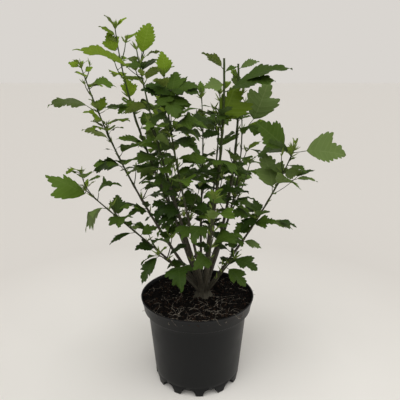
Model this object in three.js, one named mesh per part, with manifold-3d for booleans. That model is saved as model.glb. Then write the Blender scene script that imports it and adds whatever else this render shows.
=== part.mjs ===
// A rose-of-Sharon hibiscus, a young shrub of many stems, in its round nursery pot.
// Millimetres, +Z up. The origin is the middle of the pot's underside, on the ground.
// Bearings are degrees seen from above: 0 points along +X, 90 along +Y.
import * as THREE from "three";
import { mergeVertices } from "three/addons/utils/BufferGeometryUtils.js";
import Module from "manifold-3d";

const wasm = await Module();
wasm.setup();

const GAP = 0.3; // clearance between pieces that touch
const RIGHT_ANGLE = 90;
const GOLDEN_ANGLE = 137.5; // turn from each leaf to the next one up the shoot

// The pot: a moulded 3-litre container with a collar round its rim and feet round its base.
const pot = {
  height: 152,
  rimRadius: 95,
  wall: 1.6,
  collarHeight: 22,
  collarFootRadius: 90,
  neckDrop: 3,
  neckRadius: 83.5,
  heelRadius: 73.5,
  heelHeight: 18,
  baseRadius: 70.5,
  baseHeight: 8,
  sides: 48,
};
const foot = { count: 12, width: 14, depth: 9, outerRadius: 72, firstBearing: -88 };
const pad = { radius: 15, sides: 16 }; // the round boss under the middle of the base
const soil = { crownHeight: 148.5, edgeDrop: 3.5, seatRadius: 30, sides: 36 };

// The stump that every shoot leaves from, standing on the soil.
const stump = {
  x: 10,
  y: 0,
  flareRadius: 14.5,
  waistRadius: 11,
  height: 32,
  leanX: 1.5,
  shootRing: 6.2, // how far from its axis the shoots start
  sides: 16,
};

const limb = { sides: 5, tipRadius: 1.0, cutRadius: 1.9, handle: 0.36, stepLength: 42 };
const leafStalk = { base: 3, share: 0.16, radius: 0.8, lift: 14 };
const blade = { thickness: 0.018, fold: 0.14, arch: 0.06 };
const twig = { every: 4, length: 40, climb: 48, radius: 1.0, tipRadius: 0.7, sides: 4, leaves: 2 };
const joint = { spacing: 28, largestLeaf: 58, smallestLeaf: 22, tipLeaves: 3, highestOnCut: 0.84 };
const clearance = { blade: 8.5, limb: 6.5, sample: 6, joint: 0.035 };
const swings = [0, 10, -10, 20, -20, 32, -32]; // turns tried for a leaf, in degrees

// Each shoot: where it leaves the stump (bearing, height), how steeply it starts, its tip,
// the bearing and slope it ends with, its thickness at the foot, the share of it that is bare,
// its seed, and the leaves that give the crown its outline:
// [place along the shoot, bearing, rise, blade length, roll about the midrib, stalk length].
const shoots = [
  {
    name: "far_left",
    foot: [176, 12],
    climb: 56,
    tip: [-189, 70, 519],
    end: [176, 73],
    radius: 3.0,
    bare: 0.24,
    seed: 11,
    leaves: [
      [0.83, 185, 15, 62, 25, 18],
      [0.82, 345, 10, 48, 10, 12],
      [0.92, 10, 20, 42, 20, 9],
      [1.0, 180, 25, 18, 10, 5],
      [0.98, 20, 35, 13, 0, 5],
      [0.58, 190, -5, 46, 10, 8],
      [0.38, 195, 10, 42, 5, 12],
    ],
  },
  {
    name: "low_left",
    foot: [202, 9],
    climb: 52,
    tip: [-161, -60, 346],
    end: [196, 47],
    radius: 2.6,
    bare: 0.24,
    seed: 23,
    leaves: [
      [1.0, 181, 17, 64, -38, 2],
      [0.92, 25, 30, 34, 20, 8],
      [0.85, 205, -20, 46, -20, 5],
      [0.76, 100, 55, 32, 0, 6],
      [0.62, 215, -15, 38, 0, 8],
    ],
  },
  {
    name: "tall_left",
    foot: [146, 22],
    climb: 66,
    tip: [-120, 10, 573],
    end: [160, 84],
    radius: 3.2,
    bare: 0.22,
    seed: 37,
    leaves: [
      [1.0, 180, 50, 21, 20, 4],
      [1.0, 0, 40, 20, 30, 4],
      [0.97, 200, 15, 26, 0, 5],
      [0.94, 125, 55, 31, 0, 6],
      [0.76, 120, 65, 32, 0, 6],
      [0.72, 200, 10, 44, 15, 4],
      [0.59, 215, 15, 38, 10, 5],
      [0.48, 200, 5, 52, 15, 6],
    ],
  },
  {
    name: "mid_left",
    foot: [222, 20],
    climb: 72,
    tip: [-80, -60, 540],
    end: [180, 81],
    radius: 3.4,
    bare: 0.22,
    seed: 41,
    leaves: [
      [0.91, 180, 25, 76, 5, 24],
      [0.95, 55, 74, 45, 5, 13],
      [0.93, 320, 25, 36, 0, 4],
    ],
  },
  {
    name: "front",
    foot: [256, 13],
    climb: 66,
    tip: [-41, -100, 505],
    end: [240, 82],
    radius: 2.8,
    bare: 0.24,
    seed: 53,
    leaves: [
      [1.0, 115, 75, 34, 0, 3],
      [0.95, 290, -35, 54, 0, 5],
      [0.94, 205, 12, 50, -40, 5],
      [0.94, 335, 15, 48, 40, 5],
      [0.8, 195, 60, 40, 10, 4],
      [0.78, 330, -20, 42, 0, 5],
    ],
  },
  {
    name: "back",
    foot: [100, 10],
    climb: 64,
    tip: [6, 110, 487],
    end: [130, 82],
    radius: 2.8,
    bare: 0.24,
    seed: 67,
    leaves: [
      [0.96, 100, 70, 29, 10, 4],
      [0.9, 200, -10, 40, 0, 4],
      [0.85, 340, -5, 42, 0, 4],
    ],
  },
  {
    name: "centre_back",
    foot: [72, 21],
    climb: 76,
    tip: [37, 52, 485],
    end: [90, 86],
    radius: 2.7,
    bare: 0.22,
    seed: 71,
    leaves: [
      [0.97, 190, 50, 28, 10, 3],
      [0.9, 210, 15, 34, 0, 4],
    ],
  },
  {
    name: "cut_leader",
    foot: [294, 22],
    climb: 78,
    tip: [38, -40, 530],
    end: [200, 88],
    radius: 3.4,
    bare: 0.22,
    cut: true,
    seed: 83,
    leaves: [
      [0.96, 190, 35, 34, 20, 6],
      [0.88, 342, 10, 64, 20, 13],
      [0.88, 358, 13, 66, 10, 34],
      [0.76, 60, 70, 56, -10, 4],
    ],
  },
  {
    name: "cut_right",
    foot: [6, 20],
    climb: 74,
    tip: [62, 10, 524],
    end: [180, 87],
    radius: 3.0,
    bare: 0.22,
    cut: true,
    seed: 97,
    leaves: [
      [0.91, 330, 25, 24, 0, 4],
    ],
  },
  {
    name: "right_back",
    foot: [48, 9],
    climb: 60,
    tip: [76, 95, 452],
    end: [150, 84],
    radius: 2.6,
    bare: 0.24,
    seed: 101,
    leaves: [
      [0.87, 5, 62, 74, 80, 22],
      [0.79, 25, -20, 40, 0, 7],
    ],
  },
  {
    name: "far_right",
    foot: [336, 10],
    climb: 57,
    tip: [146, -30, 405],
    end: [350, 70],
    radius: 2.9,
    bare: 0.24,
    seed: 113,
    leaves: [
      [0.97, 355, -5, 60, 60, 20],
      [0.95, 190, 40, 58, -65, 20],
      [0.73, 150, 72, 48, -40, 11],
      [0.9, 315, -10, 32, 0, 4],
      [0.72, 10, 20, 30, 0, 48],
      [0.55, 350, -15, 30, 0, 34],
      [0.57, 215, -25, 34, 0, 5],
    ],
  },
  {
    name: "low_back",
    foot: [134, 8],
    climb: 56,
    tip: [-80, 150, 400],
    end: [120, 70],
    radius: 2.4,
    bare: 0.26,
    seed: 127,
    leaves: [],
  },
  {
    name: "low_right_back",
    foot: [74, 7],
    climb: 54,
    tip: [100, 150, 345],
    end: [50, 66],
    radius: 2.4,
    bare: 0.26,
    seed: 139,
    leaves: [],
  },
  {
    name: "low_right",
    foot: [314, 6],
    climb: 46,
    tip: [56, -54, 236],
    end: [330, 50],
    radius: 2.2,
    bare: 0.3,
    seed: 131,
    leaves: [
      [1.0, 325, -10, 40, 10, 3],
      [0.8, 320, -30, 38, 10, 6],
    ],
  },
  {
    name: "low_front",
    foot: [234, 6],
    climb: 44,
    tip: [-57, -62, 246],
    end: [210, 40],
    radius: 2.2,
    bare: 0.3,
    seed: 149,
    leaves: [
      [1.0, 215, -50, 46, 10, 5],
    ],
  },
  {
    name: "middle_front",
    foot: [284, 3],
    climb: 58,
    tip: [22, -130, 352],
    end: [276, 64],
    radius: 2.4,
    bare: 0.26,
    seed: 157,
    leaves: [],
  },
];

const radians = THREE.MathUtils.degToRad;
const vector = (x, y, z) => new THREE.Vector3(x, y, z);

// The unit vector of a bearing and a rise above level.
function heading(bearing, rise) {
  const b = radians(bearing);
  const r = radians(rise);
  return vector(Math.cos(r) * Math.cos(b), Math.cos(r) * Math.sin(b), Math.sin(r));
}

// A repeatable series of numbers from 0 to 1.
function seededSeries(seed) {
  let state = seed;
  return () => {
    state = (state * 1664525 + 1013904223) % 4294967296;
    return state / 4294967296;
  };
}

// ---- closed geometry and solids ----

function solidOf(geometry) {
  const bare = geometry.clone();
  bare.deleteAttribute("normal");
  bare.deleteAttribute("uv");
  const merged = mergeVertices(bare, 1e-4);
  return new wasm.Manifold(
    new wasm.Mesh({
      numProp: 3,
      vertProperties: merged.attributes.position.array,
      triVerts: new Uint32Array(merged.index.array),
    }),
  );
}

function geometryOf(solid) {
  const mesh = solid.getMesh();
  const positions = new Float32Array(mesh.numVert * 3);
  for (let i = 0; i < mesh.numVert; i++) {
    positions.set(mesh.vertProperties.subarray(i * mesh.numProp, i * mesh.numProp + 3), i * 3);
  }
  const geometry = new THREE.BufferGeometry();
  geometry.setAttribute("position", new THREE.BufferAttribute(positions, 3));
  geometry.setIndex(new THREE.BufferAttribute(mesh.triVerts, 1));
  geometry.computeVertexNormals();
  return geometry;
}

function closedMesh(points, triangles) {
  const geometry = new THREE.BufferGeometry().setFromPoints(points);
  geometry.setIndex(triangles.flat());
  return geometry;
}

// A lathe body round +Z from (radius, height) pairs.
function turned(profile, sides) {
  const points = profile.map(([radius, height]) => new THREE.Vector2(radius, height));
  return new THREE.LatheGeometry(points, sides).rotateX(radians(RIGHT_ANGLE));
}

// A tapering round limb through a list of points, with flat ends.
function limbSolid(points, radii, sides) {
  const rings = [];
  let side = null;
  points.forEach((point, i) => {
    const before = points[Math.max(i - 1, 0)];
    const after = points[Math.min(i + 1, points.length - 1)];
    const along = after.clone().sub(before).normalize();
    const seedSide = side ?? (Math.abs(along.z) > 0.9 ? vector(1, 0, 0) : vector(0, 0, 1));
    side = seedSide.clone().addScaledVector(along, -seedSide.dot(along)).normalize();
    const across = along.clone().cross(side);
    for (let k = 0; k < sides; k++) {
      const turn = (2 * Math.PI * k) / sides;
      rings.push(
        point
          .clone()
          .addScaledVector(side, Math.cos(turn) * radii[i])
          .addScaledVector(across, Math.sin(turn) * radii[i]),
      );
    }
  });
  const last = (points.length - 1) * sides;
  const triangles = [];
  for (let ring = 0; ring < last; ring += sides) {
    for (let k = 0; k < sides; k++) {
      const next = (k + 1) % sides;
      triangles.push([ring + k, ring + next, ring + sides + k]);
      triangles.push([ring + next, ring + sides + next, ring + sides + k]);
    }
  }
  for (let k = 1; k < sides - 1; k++) {
    triangles.push([0, k + 1, k]);
    triangles.push([last, last + k, last + k + 1]);
  }
  return solidOf(closedMesh(rings, triangles));
}

// ---- the pot and its soil ----

function potSolid() {
  const { height, wall, collarHeight, neckDrop } = pot;
  const collarFoot = height - collarHeight;
  const outline = [
    [0, pot.baseHeight],
    [pot.baseRadius, pot.baseHeight],
    [pot.heelRadius, pot.heelHeight],
    [pot.neckRadius, collarFoot - neckDrop],
    [pot.collarFootRadius, collarFoot],
    [pot.rimRadius, height],
    [pot.rimRadius - wall, height],
    [pot.collarFootRadius - wall, collarFoot + wall],
    [pot.neckRadius - wall, collarFoot - neckDrop + wall],
    [pot.heelRadius - wall, pot.heelHeight + wall],
    [pot.baseRadius - wall, pot.baseHeight + wall],
    [0, pot.baseHeight + wall],
  ];
  let body = solidOf(turned(outline, pot.sides));
  const boss = new THREE.CylinderGeometry(pad.radius, pad.radius, pot.baseHeight + wall / 2, pad.sides);
  boss.rotateX(radians(RIGHT_ANGLE)).translate(0, 0, (pot.baseHeight + wall / 2) / 2);
  body = body.add(solidOf(boss));
  for (let i = 0; i < foot.count; i++) {
    body = body.add(footSolid(foot.firstBearing + (i * 360) / foot.count));
  }
  return body;
}

// A foot with rounded lower corners, under the heel of the wall.
function footSolid(bearing) {
  const half = foot.width / 2;
  const corner = pot.baseHeight / 2;
  const top = pot.baseHeight + pot.wall / 2;
  const face = new THREE.Shape();
  face.moveTo(-half + corner, 0);
  face.lineTo(half - corner, 0);
  face.quadraticCurveTo(half - 1, 1, half, corner);
  face.lineTo(half, top);
  face.lineTo(-half, top);
  face.lineTo(-half, corner);
  face.quadraticCurveTo(-half + 1, 1, -half + corner, 0);
  const block = new THREE.ExtrudeGeometry(face, {
    depth: foot.depth,
    bevelEnabled: false,
    curveSegments: 2,
  });
  block.rotateX(radians(RIGHT_ANGLE)).rotateZ(radians(RIGHT_ANGLE));
  block.translate(foot.outerRadius - foot.depth, 0, 0).rotateZ(radians(bearing));
  return solidOf(block);
}

function soilSolid() {
  const { neckDrop } = pot;
  const inner = pot.wall + GAP;
  const collarFoot = pot.height - pot.collarHeight;
  const edgeHeight = soil.crownHeight - soil.edgeDrop;
  const upward = (edgeHeight - collarFoot) / pot.collarHeight;
  const edgeRadius = pot.collarFootRadius + (pot.rimRadius - pot.collarFootRadius) * upward - inner;
  return solidOf(
    turned(
      [
        [0, pot.baseHeight + inner],
        [pot.baseRadius - inner, pot.baseHeight + inner],
        [pot.heelRadius - inner, pot.heelHeight + inner],
        [pot.neckRadius - inner, collarFoot - neckDrop + inner],
        [pot.collarFootRadius - inner, collarFoot + inner],
        [edgeRadius, edgeHeight],
        [soil.seatRadius, soil.crownHeight],
        [0, soil.crownHeight],
      ],
      soil.sides,
    ),
  );
}

// ---- the stump ----

// The stump: flared at the soil, cut flat there, narrowing to a rounded top. Grown by a
// little, it cuts the shoots off clear of it.
function stumpSolid(grow) {
  const ground = soil.crownHeight + GAP;
  const { flareRadius, waistRadius, height } = stump;
  const steps = [
    [flareRadius * 1.05, -4],
    [flareRadius, 0],
    [flareRadius * 0.87, 3],
    [waistRadius + 0.7, 9],
    [waistRadius, 16],
    [waistRadius * 0.96, height * 0.75],
    [waistRadius * 0.74, height * 0.93],
    [waistRadius * 0.3, height],
  ];
  const points = steps.map(([, rise]) =>
    vector(stump.x + (stump.leanX * rise) / height, stump.y, ground + rise + (rise > 16 ? grow : 0)),
  );
  const body = limbSolid(points, steps.map(([radius]) => radius + grow), stump.sides);
  const below = new THREE.BoxGeometry(60, 60, 20).translate(stump.x, stump.y, ground - grow - 10);
  return body.subtract(solidOf(below));
}

// ---- shoots: their line, twigs and leaves ----

// A shoot's line is one Bezier curve from inside the stump to its tip.
function shootLine(shoot) {
  const [bearing, rise] = shoot.foot;
  const start = vector(stump.x, stump.y, soil.crownHeight + rise);
  start.addScaledVector(heading(bearing, 0), stump.shootRing);
  const tip = vector(...shoot.tip);
  const reach = start.distanceTo(tip) * limb.handle;
  const first = start.clone().addScaledVector(heading(bearing, shoot.climb), reach);
  const second = tip.clone().addScaledVector(heading(...shoot.end), -reach);
  return [start, first, second, tip];
}

function pointOn(line, t) {
  const u = 1 - t;
  const weights = [u * u * u, 3 * u * u * t, 3 * u * t * t, t * t * t];
  return line.reduce((sum, point, i) => sum.addScaledVector(point, weights[i]), vector(0, 0, 0));
}

function limbPart(line, from, to, radiusAt, sides) {
  const length = pointOn(line, from).distanceTo(pointOn(line, to));
  const steps = Math.max(3, Math.ceil(length / limb.stepLength));
  const places = Array.from({ length: steps + 1 }, (_, i) => from + ((to - from) * i) / steps);
  return limbSolid(
    places.map((t) => pointOn(line, t)),
    places.map(radiusAt),
    sides,
  );
}

function shootPart(shoot, from, to) {
  const tip = shoot.cut ? limb.cutRadius : limb.tipRadius;
  const radiusAt = (t) => shoot.radius + (tip - shoot.radius) * t;
  return limbPart(shootLine(shoot), from, to, radiusAt, limb.sides);
}

// One leaf: its stalk from a limb and its blade, set by bearing, rise and roll.
function makeLeaf(at, [bearing, rise, length, roll, stalk]) {
  const along = heading(bearing, rise);
  const up = heading(bearing, rise + RIGHT_ANGLE);
  const left = up.clone().cross(along);
  const turn = radians(roll);
  const side = left.clone().multiplyScalar(Math.cos(turn)).addScaledVector(up, Math.sin(turn));
  const normal = up.clone().multiplyScalar(Math.cos(turn)).addScaledVector(left, -Math.sin(turn));
  const base = at.clone().addScaledVector(heading(bearing, rise + leafStalk.lift), stalk);
  return { at, base, along, side, normal, length };
}

// A point of the blade: t along it, s across it, lifted off its middle surface.
function onBlade(leaf, t, s, lift) {
  const { length } = leaf;
  const height = (blade.arch * 4 * t * (1 - t) + blade.fold * Math.abs(s)) * length;
  return leaf.base
    .clone()
    .addScaledVector(leaf.along, t * length)
    .addScaledVector(leaf.side, s * length)
    .addScaledVector(leaf.normal, height + lift);
}

// Half the width of a blade, as a share of its length, a little outside its lobes.
function halfWidth(t) {
  return 0.42 * Math.pow(Math.sin(Math.PI * Math.pow(t, 0.85)), 0.75);
}

// Points over a leaf, close enough together that nothing passes between them unseen.
function leafSamples(leaf) {
  const rows = Math.ceil(leaf.length / clearance.sample);
  const samples = [];
  for (let i = 0; i <= rows; i++) {
    const t = i / rows;
    const half = halfWidth(t);
    const columns = Math.ceil((half * leaf.length) / clearance.sample);
    for (let k = -columns; k <= columns; k++) {
      samples.push(onBlade(leaf, t, columns ? (half * k) / columns : 0, 0));
    }
  }
  const steps = Math.ceil(leaf.at.distanceTo(leaf.base) / clearance.sample);
  for (let i = 1; i < steps; i++) samples.push(leaf.at.clone().lerp(leaf.base, i / steps));
  return samples;
}

function lineSamples(line) {
  const steps = 2 * Math.ceil(line[0].distanceTo(line[3]) / clearance.sample);
  return Array.from({ length: steps + 1 }, (_, i) => pointOn(line, i / steps));
}

// What stands in the crown already: its sample points inside a ball, and what it grows on.
function occupied(samples, isLimb, shoot, place) {
  const centre = samples[Math.floor(samples.length / 2)];
  const reach = Math.max(...samples.map((p) => p.distanceTo(centre)));
  return { samples, centre, reach, isLimb, shoot, place };
}

function touches(one, other) {
  const limit = one.isLimb || other.isLimb ? clearance.limb : clearance.blade;
  if (one.centre.distanceTo(other.centre) > one.reach + other.reach + limit) return false;
  const least = limit * limit;
  return one.samples.some((a) => other.samples.some((b) => a.distanceToSquared(b) < least));
}

// True if a new piece keeps clear of all there is, save the limbs of its own shoot and
// what grows beside it on that shoot.
function isClear(piece, taken) {
  return !taken.some((other) => {
    const beside = other.isLimb || Math.abs(other.place - piece.place) < clearance.joint;
    return !(other.shoot === piece.shoot && beside) && touches(piece, other);
  });
}

// ---- leaves as closed solids ----

// Half of a blade's outline as [along, across] shares of its length, by size of leaf.
const outlines = [
  { upTo: 27, edge: [[0.45, 0.28]] },
  {
    upTo: 42,
    edge: [
      [0.5, 0.34],
      [0.66, 0.2],
    ],
  },
  {
    upTo: Infinity,
    edge: [
      [0.5, 0.36],
      [0.62, 0.23],
      [0.8, 0.17],
    ],
  },
];

// A leaf is one body of diamond sections: a thin stalk, the blade's widths, and its point.
function leafSolid(leaf) {
  const { edge } = outlines.find(({ upTo }) => leaf.length < upTo);
  const half = leaf.length * blade.thickness * 0.5;
  const stalk = leafStalk.radius;
  const sections = [
    { centre: leaf.at, wide: stalk, high: stalk },
    { centre: leaf.base, wide: stalk, high: stalk },
    ...edge.map(([t, s]) => ({ t, s, high: half })),
  ];
  const points = sections.flatMap(({ centre, wide, high, t, s }) => {
    const middle = centre ?? onBlade(leaf, t, 0, 0);
    const ends = centre
      ? [-wide, wide].map((w) => middle.clone().addScaledVector(leaf.side, w))
      : [-s, s].map((share) => onBlade(leaf, t, share, 0));
    const faces = [high, -high].map((h) => middle.clone().addScaledVector(leaf.normal, h));
    return [ends[0], faces[0], ends[1], faces[1]];
  });
  const tip = points.length;
  points.push(onBlade(leaf, 1, 0, 0));
  const triangles = [
    [0, 1, 2],
    [0, 2, 3],
  ];
  for (let ring = 0; ring < tip; ring += 4) {
    for (let k = 0; k < 4; k++) {
      const a = ring + k;
      const b = ring + ((k + 1) % 4);
      if (ring + 4 === tip) triangles.push([a, tip, b]);
      else triangles.push([a, a + 4, b], [b, a + 4, b + 4]);
    }
  }
  return solidOf(closedMesh(points, triangles));
}

// ---- growing the crown ----

// How long a leaf is at a place along its shoot: largest past the middle, small at the tip.
function leafLength(t, chance) {
  const span = joint.largestLeaf - joint.smallestLeaf;
  return joint.smallestLeaf + span * Math.sin(Math.PI * Math.pow(t, 1.9)) * (0.6 + 0.4 * chance);
}

// The rule: leaves stand at joints, each turned by the golden angle from the one below. A
// short twig leaves every few joints. A leaf or twig that would touch something is turned
// a little, and left out if that doesn't help.
function growCrown() {
  const lines = shoots.map(shootLine);
  const taken = lines.map((line, i) => occupied(lineSamples(line), true, i, 0));
  const crown = shoots.map(() => ({ twigs: [], leaves: [] }));

  const putLeaf = (index, place, at, [bearing, ...shape]) => {
    for (const swing of swings) {
      const leaf = makeLeaf(at, [bearing + swing, ...shape]);
      const piece = occupied(leafSamples(leaf), false, index, place);
      if (piece.samples.some((p) => p.z < pot.height + 4)) continue;
      if (!isClear(piece, taken)) continue;
      taken.push(piece);
      crown[index].leaves.push(leaf);
      return;
    }
  };

  const putTwig = (index, place, at, bearing, length) => {
    for (const swing of swings) {
      const first = at.clone().addScaledVector(heading(bearing + swing, twig.climb), length * 0.4);
      const tip = at.clone().addScaledVector(heading(bearing + swing, twig.climb + 14), length);
      const second = tip.clone().addScaledVector(heading(bearing + swing, twig.climb + 30), -length / 3);
      const line = [at, first, second, tip];
      const piece = occupied(lineSamples(line), true, index, place);
      if (!isClear(piece, taken)) continue;
      taken.push(piece);
      crown[index].twigs.push({ line, bearing: bearing + swing, place });
      return;
    }
  };

  const growShoot = (shoot, index) => {
    const random = seededSeries(shoot.seed);
    const line = lines[index];
    const leafy = line[0].distanceTo(line[3]) * (1 - shoot.bare);
    const count = Math.round(leafy / joint.spacing);
    const firstBearing = random() * 360;
    for (let i = 0; i < count; i++) {
      const t = shoot.bare + 0.02 + ((0.97 - shoot.bare) * (i + 0.5)) / count;
      if (shoot.cut && t > joint.highestOnCut) break;
      const bearing = firstBearing + i * GOLDEN_ANGLE;
      const at = pointOn(line, t);
      const length = leafLength(t, random());
      const rise = 5 + 35 * t + 20 * (random() - 0.5);
      const roll = 50 * (random() - 0.5);
      if (i % twig.every === 2) putTwig(index, t, at, bearing + 40, twig.length * (0.6 + 0.6 * random()));
      const stalk = leafStalk.base + leafStalk.share * length;
      putLeaf(index, t, at, [bearing, rise, length, roll, stalk]);
    }
    for (let i = 0; i < (shoot.cut ? 0 : joint.tipLeaves); i++) {
      const length = joint.smallestLeaf * (0.6 + 0.3 * random());
      putLeaf(index, 1, line[3], [firstBearing + i * GOLDEN_ANGLE, 50, length, 0, 3]);
    }
    for (const { line: own, bearing, place } of crown[index].twigs) {
      for (let i = 0; i < twig.leaves; i++) {
        const t = 1 - 0.26 * i;
        const length = 18 + 12 * random() + 5 * i;
        const shape = [bearing + (i ? 180 * i - 120 : 0), 15 + 20 * random(), length, 0];
        putLeaf(index, place, pointOn(own, t), [...shape, leafStalk.base + leafStalk.share * length]);
      }
    }
  };

  shoots.forEach((shoot, index) => {
    for (const [t, ...shape] of shoot.leaves) putLeaf(index, t, pointOn(lines[index], t), shape);
  });
  shoots.forEach(growShoot);
  return crown;
}

// ---- assembly ----

const plastic = new THREE.MeshStandardMaterial({ color: 0x2b2c2c, roughness: 0.55 });
const peat = new THREE.MeshStandardMaterial({ color: 0x1d1613, roughness: 1 });
const bark = new THREE.MeshStandardMaterial({ color: 0x57503f, roughness: 0.85 });
const foliage = new THREE.MeshStandardMaterial({ color: 0x4a7326, roughness: 0.6 });

function named(name, solid, material) {
  const mesh = new THREE.Mesh(geometryOf(solid), material);
  mesh.name = name;
  return mesh;
}

const shrub = new THREE.Group();
shrub.add(named("pot", potSolid(), plastic));
shrub.add(named("soil", soilSolid(), peat));
shrub.add(named("stump", stumpSolid(0), bark));
const stumpCutter = stumpSolid(GAP);
const crown = growCrown();
shoots.forEach((shoot, i) => {
  const jointGap = GAP / shootLine(shoot)[0].distanceTo(vector(...shoot.tip));
  const bough = shootPart(shoot, 0, shoot.bare).subtract(stumpCutter);
  shrub.add(named(`bough_${shoot.name}`, bough, bark));
  let mass = shootPart(shoot, shoot.bare + jointGap, 1);
  for (const { line } of crown[i].twigs) {
    const radiusAt = (t) => twig.radius + (twig.tipRadius - twig.radius) * t;
    mass = mass.add(limbPart(line, 0, 1, radiusAt, twig.sides));
  }
  for (const leaf of crown[i].leaves) mass = mass.add(leafSolid(leaf));
  shrub.add(named(`foliage_${shoot.name}`, mass, foliage));
});

export default shrub;
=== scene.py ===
import math
from functools import partial
import bpy
import bmesh
import numpy as np
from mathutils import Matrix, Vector, noise


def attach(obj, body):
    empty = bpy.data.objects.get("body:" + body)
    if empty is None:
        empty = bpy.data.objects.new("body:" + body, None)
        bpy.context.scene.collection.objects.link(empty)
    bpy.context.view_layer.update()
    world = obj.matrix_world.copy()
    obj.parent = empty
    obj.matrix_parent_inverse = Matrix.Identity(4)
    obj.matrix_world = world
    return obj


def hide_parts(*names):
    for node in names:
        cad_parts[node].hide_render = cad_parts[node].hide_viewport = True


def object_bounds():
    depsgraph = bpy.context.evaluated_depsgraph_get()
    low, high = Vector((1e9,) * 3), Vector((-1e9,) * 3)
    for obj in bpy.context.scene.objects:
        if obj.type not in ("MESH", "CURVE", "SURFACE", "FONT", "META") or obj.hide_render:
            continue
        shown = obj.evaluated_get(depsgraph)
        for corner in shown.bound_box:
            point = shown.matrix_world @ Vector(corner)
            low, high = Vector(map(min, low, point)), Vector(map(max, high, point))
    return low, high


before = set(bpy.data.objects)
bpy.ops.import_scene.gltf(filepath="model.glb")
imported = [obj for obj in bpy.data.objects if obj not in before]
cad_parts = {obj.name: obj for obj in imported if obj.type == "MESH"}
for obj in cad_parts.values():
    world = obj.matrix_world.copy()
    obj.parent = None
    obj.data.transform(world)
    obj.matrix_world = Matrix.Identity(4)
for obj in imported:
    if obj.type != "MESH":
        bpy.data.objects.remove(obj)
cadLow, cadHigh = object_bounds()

# Sizes are in millimetres and turned into metres where a mesh is made.
# Bearings are degrees seen from above: 0 points along +X, 90 along +Y.
mm = 0.001
rightAngle = 90
goldenAngle = 137.5
sharpAngle = math.radians(38)  # moulded edges steeper than this stay sharp

pot = {
    "height": 152, "rimRadius": 95, "wall": 1.6, "collarHeight": 22, "collarFootRadius": 90,
    "neckDrop": 3, "neckRadius": 83.5, "heelRadius": 73.5, "heelHeight": 18, "baseRadius": 70.5,
    "baseHeight": 8, "padRadius": 15, "padHeight": 8.6, "lipThickness": 2.2, "turns": 144,
    "footCount": 12, "footDepth": 9, "firstFoot": -88, "drainRadius": 4.5, "drainRing": 54,
}
soil = {"crownHeight": 148.5, "edgeDrop": 3.5, "edgeRadius": 92.0, "lumps": 2.6,
        "rings": 54, "sides": 150}
stump = {"x": 10, "y": 0, "flareRadius": 14.5, "height": 32, "leanX": 1.5, "shootRing": 6.2,
         "sides": 48}
limb = {"tipRadius": 1.0, "cutRadius": 1.9, "handle": 0.36, "stepLength": 4.5, "sides": 10}
leafStalk = {"base": 3, "share": 0.16, "radius": 0.55, "lift": 14}
blade = {"fold": 0.14, "arch": 0.06}
twig = {"every": 4, "length": 40, "climb": 48, "radius": 1.0, "tipRadius": 0.6, "leaves": 2,
        "steps": 10}
joint = {"spacing": 28, "largestLeaf": 58, "smallestLeaf": 22, "tipLeaves": 3,
         "highestOnCut": 0.84, "rise": 5, "riseGain": 35, "riseSpread": 20, "rollSpread": 50}
# Least distances of blades and of limbs, the step between samples, how near along a shoot two
# leaves share a joint, the height above the pot, and the share allowed before an opening.
clearance = {"limits": (8.5, 6.5), "sample": 6, "fineSample": 5, "joint": 0.035, "abovePot": 4,
             "ruleInOpening": 0.25, "fineInOpening": 0.02}
swings = [0, 10, -10, 20, -20, 32, -32]  # tried in turn where a leaf or twig finds no room

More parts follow.
